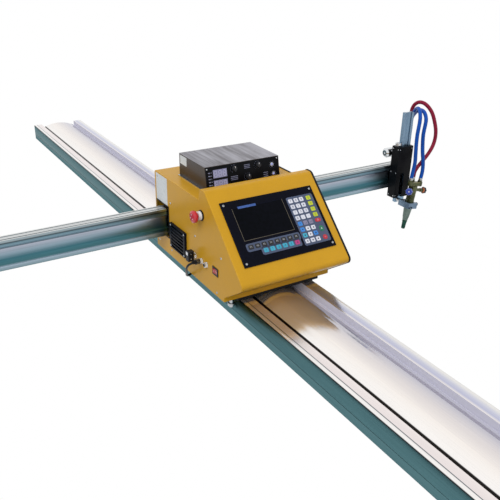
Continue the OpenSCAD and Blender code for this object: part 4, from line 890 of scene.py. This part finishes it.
def display_frame():
    """The thin frame round the display and the plain header bar in it."""
    shape = bmesh.new()
    low_x, high_x, low_t, high_t = -124.5, 40.5, 69.5, 168.5
    line = 1.4
    for low, high in [
        ((low_x - line, -high_t - line), (high_x + line, -high_t)),
        ((low_x - line, -high_t), (low_x, -low_t)),
        ((high_x, -high_t), (high_x + line, -low_t)),
    ]:
        add_block(shape, (*low, PANEL_FACE), (*high, 4.3), ON_SLOPE, 0, 0.12, 1)
    add_block(shape, (-106, -73, PANEL_FACE), (-47, -66, 4.25), ON_SLOPE, 1, 0.08, 1)
    finish_piece("display_surround", shape, ["display_frame", "header_blue"], "carriage", "panel_black")


# Film pads by their corners. A key has a colour, and a text with its size or the turn of an arrow
KEY_FINISHES = [
    "film_slate", "key_white", "key_lime", "key_blue", "key_cyan", "key_magenta", "key_red", "key_green",
    "key_black", "key_grey", "mark_dark", "mark_pale",
]
FILM_TOP, KEY_TOP = 5.0, 5.8
FILM_PADS = [((54, -225.5), (146, -70)), ((-128, -203), (50, -179)), ((-86, -221), (46, -196))]
KEY_COLUMNS = (66, 85, 104)
KEY_ROWS = [[("key_white", sign, 9.5) for sign in signs] for signs in ("789", "456", "123", "0.-")] + [
    [("key_blue", "+", 7.5), ("key_grey", "[ ]", 7.5), ("key_grey", "( )", 7.5)],
    [("key_blue", 180), ("key_white", 90), ("key_white", 0)],
    [("key_cyan", 180), ("key_white", 270), ("key_blue", 0)],
    [("key_white", 90), ("key_white", 270), ("key_white", 90)],
]
FIRST_ROW, ROW_STEP = 83, 18.5
LAST_COLUMN = 129


def add_key(shape, x, t, width, height, colour, mark, mark_size=0.0, rounding=2.4, ink="mark_dark"):
    """One domed key at x across and t down the slope, with its mark."""
    low, high = (x - width / 2, -t - height / 2), (x + width / 2, -t + height / 2)
    cap = plate(low, high, FILM_TOP, KEY_TOP, rounding, 4, 0.3)
    add(shape, cap, ON_SLOPE, KEY_FINISHES.index(colour))
    place = ON_SLOPE @ moved(x, -t, KEY_TOP - 0.02)
    if isinstance(mark, str):
        add(shape, written(mark, mark_size, place), None, KEY_FINISHES.index(ink))
    else:
        add(shape, prism(3.4, 0.14, 3), place @ turned(mark, "Z"), KEY_FINISHES.index(ink))


def membrane_keys():
    """Raised film pads with rounded corners, domed keys and small generic marks."""
    shape = bmesh.new()
    for low, high in FILM_PADS:
        add(shape, plate(low, high, PANEL_FACE, FILM_TOP, 6.0, 5, 0.35), ON_SLOPE)
    for row, keys in enumerate(KEY_ROWS):
        t = FIRST_ROW + ROW_STEP * row
        for x, looks in zip(KEY_COLUMNS, keys):
            add_key(shape, x, t, 14, 13, *looks)
        if row < 4:
            add_key(shape, LAST_COLUMN, t, 15, 13, "key_lime", "[<>]"[row], 8.0)
    for row, width, height, colour, mark, mark_size, rounding in [
        (4, 20, 11, "key_red", "O", 7.0, 5.2),
        (5.5, 15, 18, "key_green", 0, 0.0, 7.0),
        (7, 15, 15, "key_red", "II", 6.5, 7.2),
    ]:
        t = FIRST_ROW + ROW_STEP * row
        add_key(shape, LAST_COLUMN, t, width, height, colour, mark, mark_size, rounding, "mark_pale")
    for index in range(8):
        mark = "F%d" % (index + 1)
        add_key(shape, -114 + 21.5 * index, 190.5, 16, 13, "key_black", mark, 7.0, ink="mark_pale")
    for index in range(6):
        colour = "key_magenta" if index == 5 else "key_cyan"
        add_key(shape, -72.5 + 21 * index, 208.5, 15, 13, colour, str(index + 1), 8.5)
    stand_in("keypad", "membrane_keys", shape, KEY_FINISHES)


class CUTTER_OT_control_panel(bpy.types.Operator):
    """Dress the control panel, its display and its membrane keys"""

    bl_idname = "cutter.control_panel"
    bl_label = "Control panel"

    def execute(self, context):
        dress("control_panel", "control_panel_film", 0.9, ["panel_film"], segments=3)
        dress("display_screen", "display_glass_pane", 0.25, ["display_glass"])
        display_frame()
        membrane_keys()
        return {"FINISHED"}


def stop_button():
    """The stop button's knurled collar, white neck, shank and contact block, and its cap with arrows."""
    at_button = moved(-SIDE, -368, 303) @ ACROSS_LEFT
    shape = bmesh.new()
    add_spun(shape, [(6.1, 0), (15.5, 0), (15.5, 2.6), (14.4, 4), (6.1, 4)], at_button)
    for place in around(at_button, 24, reach=15.4):
        add_block(shape, (-0.6, -0.35, 0.4), (0.6, 0.35, 3.0), place, 0, 0.15, 1)
    add_spun(shape, [
        (6.1, 4), (13, 4), (13, 6.2), (11.6, 7.4), (11.6, 9.6), (13, 10.6), (13, 12.2), (12, 13), (6.1, 13),
    ], at_button, 1)
    add_spun(shape, [(6.1, 0), (11, 0), (11, -20), (6.1, -20)], at_button, 2)
    add_block(shape, (-164, -383, 283), (-138, -353, 323), None, 2, 1.2)
    stand_in("estop_base", "stop_button_base", shape, ["black_abs", "white_abs", "knob_abs"])
    cap = bmesh.new()
    profile = [(0, -1.4), (6, -1.4), (6, 18.7), (14.6, 18.7), (16.7, 19.1), (17.7, 20.4), (18, 22.4)]
    profile.append((18, 25.4))
    for angle in (15, 30, 45, 60, 75):
        bend = math.radians(angle)
        profile.append((18 - 5.8 * (1 - math.cos(bend)), 25.4 + 5.6 * math.sin(bend)))
    profile += [(11.6, 31.3), (7.6, 31.9), (0, 32.1)]
    add_spun(cap, profile, at_button, 0, 64)
    for place in around(at_button, 3, reach=7.4, rise=31.7):
        add(cap, prism(2.6, 0.35, 3, 0.1), place @ turned(90, "Z"), 1)
    stand_in("estop_cap", "stop_button_cap", cap, ["red_abs", "white_abs"])


def fan_cover():
    """The slotted fan cover with its four screws, and the dust pad behind its slots."""
    dress("fan_guard", "fan_cover_moulding", 0.9, ["navy_abs"], segments=3)
    y, z = -217, 167
    places = [moved(-192, y + across, z + up) @ ACROSS_LEFT for across in (-46, 46) for up in (-35, 35)]
    small_screws("fan_cover_screws", [(0, 1.5), (2.0, 1.2), (2.9, 0.4), (3.0, 0), (0, 0)], places, "carriage")
    small_plate(
        "fan_dust_pad", (-188.2, y - 45, z - 34), (-186.6, y + 45, z + 34), 0.4, "black_rubber",
        SLOT_OF["fan_guard"],
    )


def main_switch():
    """The main switch: its bezel, and its rocker with the signs for off and on."""
    dress("switch_frame", "switch_bezel", 0.5, ["black_abs"])
    rocker = copy_of("power_rocker")
    soften(rocker, 0.45, 2)
    tilt = moved(-181, -450, SOCKET_ROW) @ turned(8, "Z")
    for face in rocker.faces:
        face.material_index = 0
    for sign, text in ((-1, "O"), (1, "I")):
        lean = math.degrees(math.atan2(2.0, 8.75)) * sign
        place = tilt @ moved(-5.66, sign * 5.4, 0) @ turned(lean, "Z") @ ACROSS_LEFT @ turned(-90, "Z")
        add(rocker, written(text, 6.0, place, 0.16), None, 1)
    stand_in("power_rocker", "switch_rocker", rocker, ["red_lens", "white_abs"])


def sockets():
    """Three threaded sockets with their pins, and the plugs in the first two."""
    shape = bmesh.new()
    thread = [(5.2, 3), (7.5, 3)]
    for turn in range(4):
        thread += [(7.5, 3.4 + turn * 1.6), (7.1, 3.9 + turn * 1.6), (7.5, 4.6 + turn * 1.6)]
    thread += [(7.5, 10), (6.4, 10), (6.2, 6.5), (5.2, 6.4)]
    for y in (-329, -370, -400):
        place = moved(-SIDE, y, SOCKET_ROW) @ ACROSS_LEFT
        add(shape, prism(9.0, 3.0, 6, 0.4), place @ turned(15, "Z"))
        add_spun(shape, thread, place)
        add_spun(shape, [(0, 0), (6.8, 0), (6.8, -14), (0, -14)], place, 1, 32)
        for at_pin in around(place, 4, 45, 3.0):
            add_spun(shape, [(0, 8.6), (0.6, 8.2), (0.75, 3.0), (0, 3.0)], at_pin, 2, 12)
    stand_in("side_sockets", "socket_shells", shape, ["polished_chrome", "black_abs", "torch_brass"])
    plugs = bmesh.new()
    add_block(plugs, (-214, -338, 147), (-194, -320, 181), None, 0, 2.6, 3)
    add_block(plugs, (-214.4, -335, 168), (-213.6, -323, 178), None, 2, 0.35, 1)
    for z in (156, 172):
        place = moved(-204, -338, z) @ turned(90, "X")
        add_spun(plugs, [(0, 0.9), (1.5, 0.7), (1.9, 0), (0, 0)], place, 1, 16)
    plug = moved(-SIDE, -370, SOCKET_ROW) @ ACROSS_LEFT
    grip = [(0, 10), (8.0, 10), (8.0, 12), (7.4, 12.6), (7.4, 21), (8.0, 21.6), (8.0, 23), (7.0, 24)]
    grip += [(5.5, 24.4), (5.3, 28), (4.6, 32), (0, 32)]
    add_spun(plugs, grip, plug)
    for place in around(plug, 18):
        add_block(plugs, (7.2, -0.35, 12.8), (7.8, 0.35, 20.8), place, 1, 0.12, 1)
    finish_piece("socket_plugs", plugs, ["black_abs", "bright_steel", "white_abs"], "carriage", "chrome_trim")


class CUTTER_OT_side_fittings(bpy.types.Operator):
    """Dress the stop button, fan cover, main switch and sockets of the left side"""

    bl_idname = "cutter.side_fittings"
    bl_label = "Side fittings"

    def execute(self, context):
        stop_button()
        fan_cover()
        main_switch()
        sockets()
        return {"FINISHED"}


# The height controller's front with Z out of it, and the middle of each knob on it
ON_HEIGHT_FRONT = moved(-6, -308, 344) @ turned(77.905, "X")
KNOB_PLACES = [(-32, 55), (14, 24), (51, 54)]


def front_bars(shape, bars, low_z, high_z, finish):
    """Flat bars on the height controller's front, each from its middle and half its size."""
    for x, y, half_x, half_y in bars:
        low, high = (x - half_x, y - half_y, low_z), (x + half_x, y + half_y, high_z)
        add_block(shape, low, high, ON_HEIGHT_FRONT, finish)


def front_ticks(shape, place, count, start, step, low_x, high_x, half):
    """Printed ticks round a knob or a lamp."""
    for index in range(count):
        turn = place @ turned(start + step * index, "Z")
        add_block(shape, (low_x, -half, 0), (high_x, half, 0.15), turn, 4)


def height_front():
    """The height controller's front: two displays of three figures, lamps, ticks, print and screws."""
    shape = bmesh.new()
    add_block(shape, (-126.3, 2.3, -2.5), (126.3, 69.3, 0), ON_HEIGHT_FRONT, 0, 0.5)
    flat, upright = (3.4, 0.8), (0.8, 3.2)
    figure = [(0, 8.4, *flat), (0, 0, *flat), (0, -8.4, *flat)]
    figure += [(x, y, *upright) for y in (4.2, -4.2) for x in (-4.4, 4.4)]
    for y in (17, 48):
        add_block(shape, (-103, y - 13, 0), (-55, y + 13, 0.5), ON_HEIGHT_FRONT, 1, 0.2, 1)
        add_block(shape, (-102, y - 12, 0.5), (-56, y + 12, 0.8), ON_HEIGHT_FRONT, 2, 0.12, 1)
        for x in (-94, -79, -64):
            front_bars(shape, [(x + dx, y + dy, *half) for dx, dy, *half in figure], 0.8, 0.95, 6)
    for y in range(8, 62, 9):
        front_bars(shape, [(-114.5, y, 3.5, 1.4)], 0, 0.15, 4)
        lamp = ON_HEIGHT_FRONT @ moved(-107.5, y, 0)
        add_spun(shape, [(0, 0.9), (1.2, 0.6), (1.5, 0), (0, 0)], lamp, 4, 12)
    for x, y in ((102, 48), (106, 19)):
        place = ON_HEIGHT_FRONT @ moved(x, y, 0)
        add_spun(shape, [(4.4, 0), (6.2, 0), (6.2, 0.9), (5.6, 1.4), (4.4, 1.4)], place, 5, 28)
        add_spun(shape, [(0, 3.0), (2.2, 2.7), (3.6, 1.7), (4.3, 0.2), (0, 0.2)], place, 3, 28)
        front_ticks(shape, place, 10, 0, 36, 8.2, 9.8, 0.4)
    for x, y in KNOB_PLACES:
        front_ticks(shape, ON_HEIGHT_FRONT @ moved(x, y, 0), 11, -60, 30, 10.5, 12.2, 0.35)
    for low, high in [((-44, 20), (-20, 34)), ((4, 48), (24, 62)), ((70, 12), (86, 30))]:
        for row in range(3):
            y = low[1] + (high[1] - low[1]) * (row + 0.5) / 3
            add_block(shape, (low[0], y - 0.9, 0), (high[0], y + 0.9, 0.15), ON_HEIGHT_FRONT, 4)
    for x in (-121, 121):
        for y in (7, 64.5):
            screw = ON_HEIGHT_FRONT @ moved(x, y, 0)
            add_spun(shape, [(0, 1.2), (1.6, 1.0), (2.4, 0), (0, 0)], screw, 5, 16)
    stand_in("thc_front", "height_front_plate", shape, [
        "black_powder_coat", "black_abs", "led_window", "lamp_lens", "legend_print", "bright_steel",
        "led_segment",
    ])


def height_knobs():
    """The three knobs: a fluted skirt, a turned cap, a shaft and a white pointer line."""
    for index, (x, y) in enumerate(KNOB_PLACES, 1):
        place = ON_HEIGHT_FRONT @ moved(x, y, 0)
        shape = bmesh.new()
        add(shape, prism(8.0, 6.4, 72, 0.25, lobes=18, depth=0.5), place @ moved(0, 0, 0.3))
        add_spun(shape, [(7.3, 6.7), (7.2, 10.2), (6.4, 11.2), (5.4, 11.3), (4.9, 10.9), (0, 10.9)], place)
        add_spun(shape, [(0, -12), (3, -12), (3, 1), (0, 1)], place, 1, 24)
        add_block(shape, (-0.7, 2.0, 11.0), (0.7, 7.6, 11.6), place, 2, 0.2, 1)
        finishes = ["knob_abs", "bright_steel", "white_abs"]
        stand_in("thc_knob_%d" % index, "height_knob_%d_grip" % index, shape, finishes)


class CUTTER_OT_height_controller(bpy.types.Operator):
    """Dress the height controller: lacquered lid with painted reflection streaks, front plate with displays
    and lamps, and knobs
    """

    bl_idname = "cutter.height_controller"
    bl_label = "Height controller"

    def execute(self, context):
        def choose(centre, normal):
            """Lacquered lid with painted reflection streaks, bright feet, enamelled sides."""
            if normal.z > 0.9 and centre.z > 400:
                return 1
            return 2 if centre.z < 347.5 and abs(centre.x + 6) > 128.5 else 0

        finishes = ["case_side_enamel", "lid_brushed_lacquer", "bright_steel"]
        dress("thc_case", "height_case_shell", 0.6, finishes, choose)
        height_front()
        height_knobs()
        small_plate(
            "case_plate_blank", (-134.3, -178, 383), (-134.0, -134, 410), 0.12, "blank_label", "key_film", 1,
        )
        return {"FINISHED"}


class CUTTER_OT_crossbeam(bpy.types.Operator):
    """Dress the crossbeam and its end plugs"""

    bl_idname = "cutter.crossbeam"
    bl_label = "Crossbeam"

    def execute(self, context):
        def choose(centre, normal):
            """Plain top, underside and ends, faces banded with painted reflections and shade."""
            if abs(normal.x) > 0.9:
                return 1
            return 1 if abs(normal.z) > 0.9 and (centre.z > 235 or centre.z < 155) else 0

        finishes = ["beam_face_anodised", "beam_top_anodised"]
        dress("crossbeam", "crossbeam_profile", 0.4, finishes, choose, sharp=24)
        dress("beam_end_cap", "crossbeam_plugs", 0.8, ["black_abs"])
        return {"FINISHED"}


def hand_wheel():
    """The lead screw with its thread, and the knurled hand wheel on its upper end."""
    shape = bmesh.new()
    place = moved(756.5, -158, 0)
    thread = [(0, 129)]
    for height in range(129, 317, 2):
        thread += [(3.5, height), (4.0, height + 1.0)]
    thread += [(4.0, 323), (4.0, 329), (0, 329)]
    add_spun(shape, thread, place, 0, 20)
    add(shape, prism(11.0, 7.5, 96, 0.25, lobes=24, depth=0.5), place @ moved(0, 0, 324.5), 1)
    add_spun(shape, [(0, 323), (8.5, 323), (9.2, 323.6), (9.2, 324.6), (0, 324.6)], place, 1)
    rim = [(4, 331), (5.2, 331), (5.6, 333.6), (8.6, 334), (10.3, 333), (10.4, 331.9), (4, 331.2)]
    add_spun(shape, rim, place, 1)
    stand_in("lift_screw", "lift_hand_wheel", shape, ["bright_steel", "polished_chrome"])


class CUTTER_OT_lift(bpy.types.Operator):
    """Dress the torch lift: box, bar, motor, lead screw with its hand wheel, and hose bracket"""

    bl_idname = "cutter.lift"
    bl_label = "Torch lift"

    def execute(self, context):
        dress("lift_housing", "lift_box", 1.0, ["black_powder_coat"], segments=3)
        dress("lift_bar", "lift_bar_profile", 0.5, ["lift_bar_anodised"])
        dress("lift_motor", "lift_motor_can", 0.5, ["polished_chrome"])

        def choose(centre, normal):
            """Brass ferrules above and below the enamelled bracket."""
            round_part = min(math.hypot(centre.x - x, centre.y - y) for x, y, z in HOSE_PORTS) < 7.8
            return 1 if round_part and (centre.z > 392.3 or centre.z < 373.9) else 0

        dress("hose_bracket", "hose_bracket_block", 0.5, ["grey_enamel", "torch_brass"], choose)
        hand_wheel()
        front = [moved(x, -177, z) @ turned(90, "X") for z in (128, 310) for x in (752.5, 811.5)]
        left = [moved(747, y, z) @ ACROSS_LEFT for y in (-171, -145) for z in (128, 219, 310)]
        small_screws("lift_box_screws", [(0, 1.0), (1.5, 0.9), (2.2, 0.1), (0, 0.1)], front + left, "beam")
        return {"FINISHED"}


# The torch with Z up its axis, and each valve's turn about it, its dip and the reach of its stem
ON_TORCH = moved(777, -230, 107) @ turned(9, "Y")
LEFT_VALVE = (211, 0, 42)
RIGHT_VALVE = (0, 4, 53)


def on_valve(turn, dip):
    """The place of a valve, with Z out along its stem."""
    return ON_TORCH @ moved(0, 0, 60) @ turned(turn, "Z") @ turned(dip, "Y") @ turned(90, "Y")


def torch_clamp():
    """The clamp's jaws with their black screws, and its knob."""
    def choose(centre, normal):
        """Black screw heads on the front of the jaws."""
        return 1 if (ON_TORCH.inverted() @ centre).y < -22.2 else 0

    dress("torch_clamp", "torch_clamp_jaws", 1.2, ["clamp_alloy", "black_oxide"], choose, segments=3)
    shape = bmesh.new()
    place = ON_TORCH @ turned(90, "Y")
    add_spun(shape, [(0, 16.8), (3, 16.8), (3, 33), (0, 33)], place, 1, 24)
    add(shape, prism(7.5, 10, 72, 0.5, lobes=12, depth=0.9), place @ moved(0, 0, 32.3))
    stand_in("clamp_knob", "clamp_knob_grip", shape, ["knob_abs", "bright_steel"])


def torch_body():
    """The plated lower tube, the ringed brass grip, the manifold with its hose nuts, and the valve stems."""
    shape = bmesh.new()
    add_spun(shape, [
        (0, -62), (9.5, -62), (10.5, -58), (10.9, -56), (10.3, -55), (11.2, -52.5), (12, -50), (13.6, -36),
        (13.1, -35), (13.7, -33.6), (15.5, -16), (16.5, -14), (16.5, 0), (0, 0),
    ], ON_TORCH)
    add_spun(shape, [
        (0, 0), (16.5, 0), (16.5, 14), (15.9, 15), (15.9, 24), (15.1, 25), (15.1, 27), (15.9, 28), (15.9, 42),
        (15.2, 43), (15.2, 45), (16, 46), (16, 76), (0, 76),
    ], ON_TORCH, 1)
    add_block(shape, (-25, -13, 76), (25, 5, 91), ON_TORCH, 1, 2.2, 3)
    add_block(shape, (-6, 0, 76), (14, 16, 91), ON_TORCH, 1, 2.2, 3)
    sleeve = [(0, 97.5), (6.9, 97.5), (6.9, 99.5), (7.5, 100), (7.5, 101.2), (7.0, 101.6), (7.5, 102)]
    sleeve += [(7.5, 105.2), (7.0, 106), (0, 106)]
    for x, y, share in ((-25, -4, 1), (25, -4, 1), (4, 14, 0.75)):
        place = ON_TORCH @ moved(x, y, 0)
        boss = [(0, 75), (9, 75), (10.6, 77), (10.6, 89), (9.4, 92), (0, 92)]
        add_spun(shape, [(r * share, z) for r, z in boss], place, 1, 40)
        add(shape, prism(8.6, 6.5, 6, 0.5), place @ moved(0, 0, 91.5), 1)
        add_spun(shape, sleeve, place, 2, 32)
    for turn, dip, reach in (LEFT_VALVE, RIGHT_VALVE):
        place = on_valve(turn, dip)
        add_spun(shape, [
            (0, 10.5), (6, 10.5), (6, reach - 15), (5.4, reach - 14.6), (5.4, reach - 14),
            (6, reach - 13.4), (6, reach - 1), (5.2, reach), (2.55, reach), (2.55, reach - 13),
            (0, reach - 13),
        ], place, 1, 32)
        add(shape, prism(8.0, 8, 6, 0.5), place @ moved(0, 0, reach - 14), 1)
    stand_in("torch_body", "torch_body_tube", shape, ["torch_nickel", "torch_brass", "bright_steel"])


def torch_nozzle():
    """The tapered copper nozzle with its ring of flame ports."""
    shape = bmesh.new()
    add_spun(shape, [
        (0.8, -62), (8.5, -62), (9.5, -64), (9.5, -68), (8.5, -70), (8.1, -78), (7.6, -79), (7.9, -80),
        (7.5, -93), (6.9, -96), (6.2, -97), (2.2, -97), (0.8, -95.5), (0.8, -62),
    ], ON_TORCH)
    for place in around(ON_TORCH, 6, 0, 4.2, -96.2):
        add_spun(shape, [(0, 0.05), (0.7, 0.05), (0.7, -0.9), (0, -0.9)], place, 1, 10)
    stand_in("torch_nozzle", "torch_cutting_nozzle", shape, ["nozzle_copper", "black_oxide"])


def valve_wheel(name, valve, radius, face_finish, finishes):
    """A lobed valve wheel with its hub, its face, its screw and its spindle."""
    turn, dip, reach = valve
    place = on_valve(turn, dip)
    shape = bmesh.new()
    add(shape, prism(radius, 8.6, 84, 0.9, lobes=7, depth=1.9), place @ moved(0, 0, reach + 4.0))
    for profile, finish, steps in [
        ([(0, 0.3), (radius - 5, 0.3), (radius - 4.2, 2.4), (radius - 3.2, 4.1), (0, 4.1)], 1, None),
        ([(0, 12.5), (radius - 4, 12.5), (radius - 4.6, 13.2), (5, 13.2), (4.2, 12.8), (0, 12.8)],
         face_finish, None),
        ([(0, 13.25), (2.2, 13.1), (2.8, 12.6), (0, 12.6)], 2, 20),
        ([(0, -12), (2.5, -12), (2.5, 2), (0, 2)], 1, 20),
    ]:
        add_spun(shape, [(r, z + reach) for r, z in profile], place, finish, steps)
    stand_in(name, name + "_wheel", shape, finishes)


class CUTTER_OT_torch(bpy.types.Operator):
    """Dress the torch: arm rod, clamp with its knob, body with its hose nuts, nozzle and valve wheels"""

    bl_idname = "cutter.torch"
    bl_label = "Torch"

    def execute(self, context):
        dress("torch_arm", "torch_arm_rod", 0.5, ["bright_steel"])
        torch_clamp()
        torch_body()
        torch_nozzle()
        valve_wheel("valve_left", LEFT_VALVE, 13.5, 0, ["blue_abs", "bright_steel", "white_abs"])
        valve_wheel("valve_right", RIGHT_VALVE, 13, 1, ["knob_abs", "valve_copper", "bright_steel"])
        return {"FINISHED"}


class CUTTER_OT_guide_rollers(bpy.types.Operator):
    """Dress the guide rollers that run on the rail's sides"""

    bl_idname = "cutter.guide_rollers"
    bl_label = "Guide rollers"

    def execute(self, context):
        for place in ("front_left", "front_right", "rear_left", "rear_right"):
            name = "guide_roller_" + place
            dress(name, name + "_turned", 0.5, ["bright_steel"])
        return {"FINISHED"}


class CUTTER_PT_panel(bpy.types.Panel):
    """The machine's settings and its pieces"""

    bl_idname = "CUTTER_PT_panel"
    bl_label = "Cutting machine"
    bl_space_type = "VIEW_3D"
    bl_region_type = "UI"
    bl_category = "Cutter"

    def draw(self, context):
        for group in ("cutter_colours", "cutter_sizes", "cutter_light"):
            settings = getattr(context.scene, group)
            for key in settings.bl_rna.properties.keys():
                if key not in ("rna_type", "name"):
                    self.layout.prop(settings, key)
        for operator in PIECE_OPERATORS:
            self.layout.operator(operator.bl_idname)


PIECE_OPERATORS = (
    CUTTER_OT_camera, CUTTER_OT_finishes, CUTTER_OT_hoses, CUTTER_OT_stage, CUTTER_OT_rail, CUTTER_OT_housing,
    CUTTER_OT_control_panel, CUTTER_OT_side_fittings, CUTTER_OT_height_controller, CUTTER_OT_crossbeam,
    CUTTER_OT_lift, CUTTER_OT_torch, CUTTER_OT_guide_rollers,
)
SETTINGS = (CutterColours, CutterSizes, CutterLight)


def register():
    """Registers the settings, the operators and the panel."""
    for cls in (*SETTINGS, *PIECE_OPERATORS, CUTTER_PT_panel):
        bpy.utils.register_class(cls)
    bpy.types.Scene.cutter_colours = PointerProperty(type=CutterColours)
    bpy.types.Scene.cutter_sizes = PointerProperty(type=CutterSizes)
    bpy.types.Scene.cutter_light = PointerProperty(type=CutterLight)


def unregister():
    """Takes the settings, the operators and the panel away again."""
    del bpy.types.Scene.cutter_light
    del bpy.types.Scene.cutter_sizes
    del bpy.types.Scene.cutter_colours
    for cls in reversed((*SETTINGS, *PIECE_OPERATORS, CUTTER_PT_panel)):
        bpy.utils.unregister_class(cls)


def main():
    """Builds the machine's looks piece by piece."""
    register()
    bpy.ops.cutter.camera()
    bpy.ops.cutter.finishes()
    bpy.ops.cutter.hoses()
    bpy.ops.cutter.stage()
    bpy.ops.cutter.rail()
    bpy.ops.cutter.housing()
    bpy.ops.cutter.control_panel()
    bpy.ops.cutter.side_fittings()
    bpy.ops.cutter.height_controller()
    bpy.ops.cutter.crossbeam()
    bpy.ops.cutter.lift()
    bpy.ops.cutter.torch()
    bpy.ops.cutter.guide_rollers()


if __name__ == "__main__":
    main()
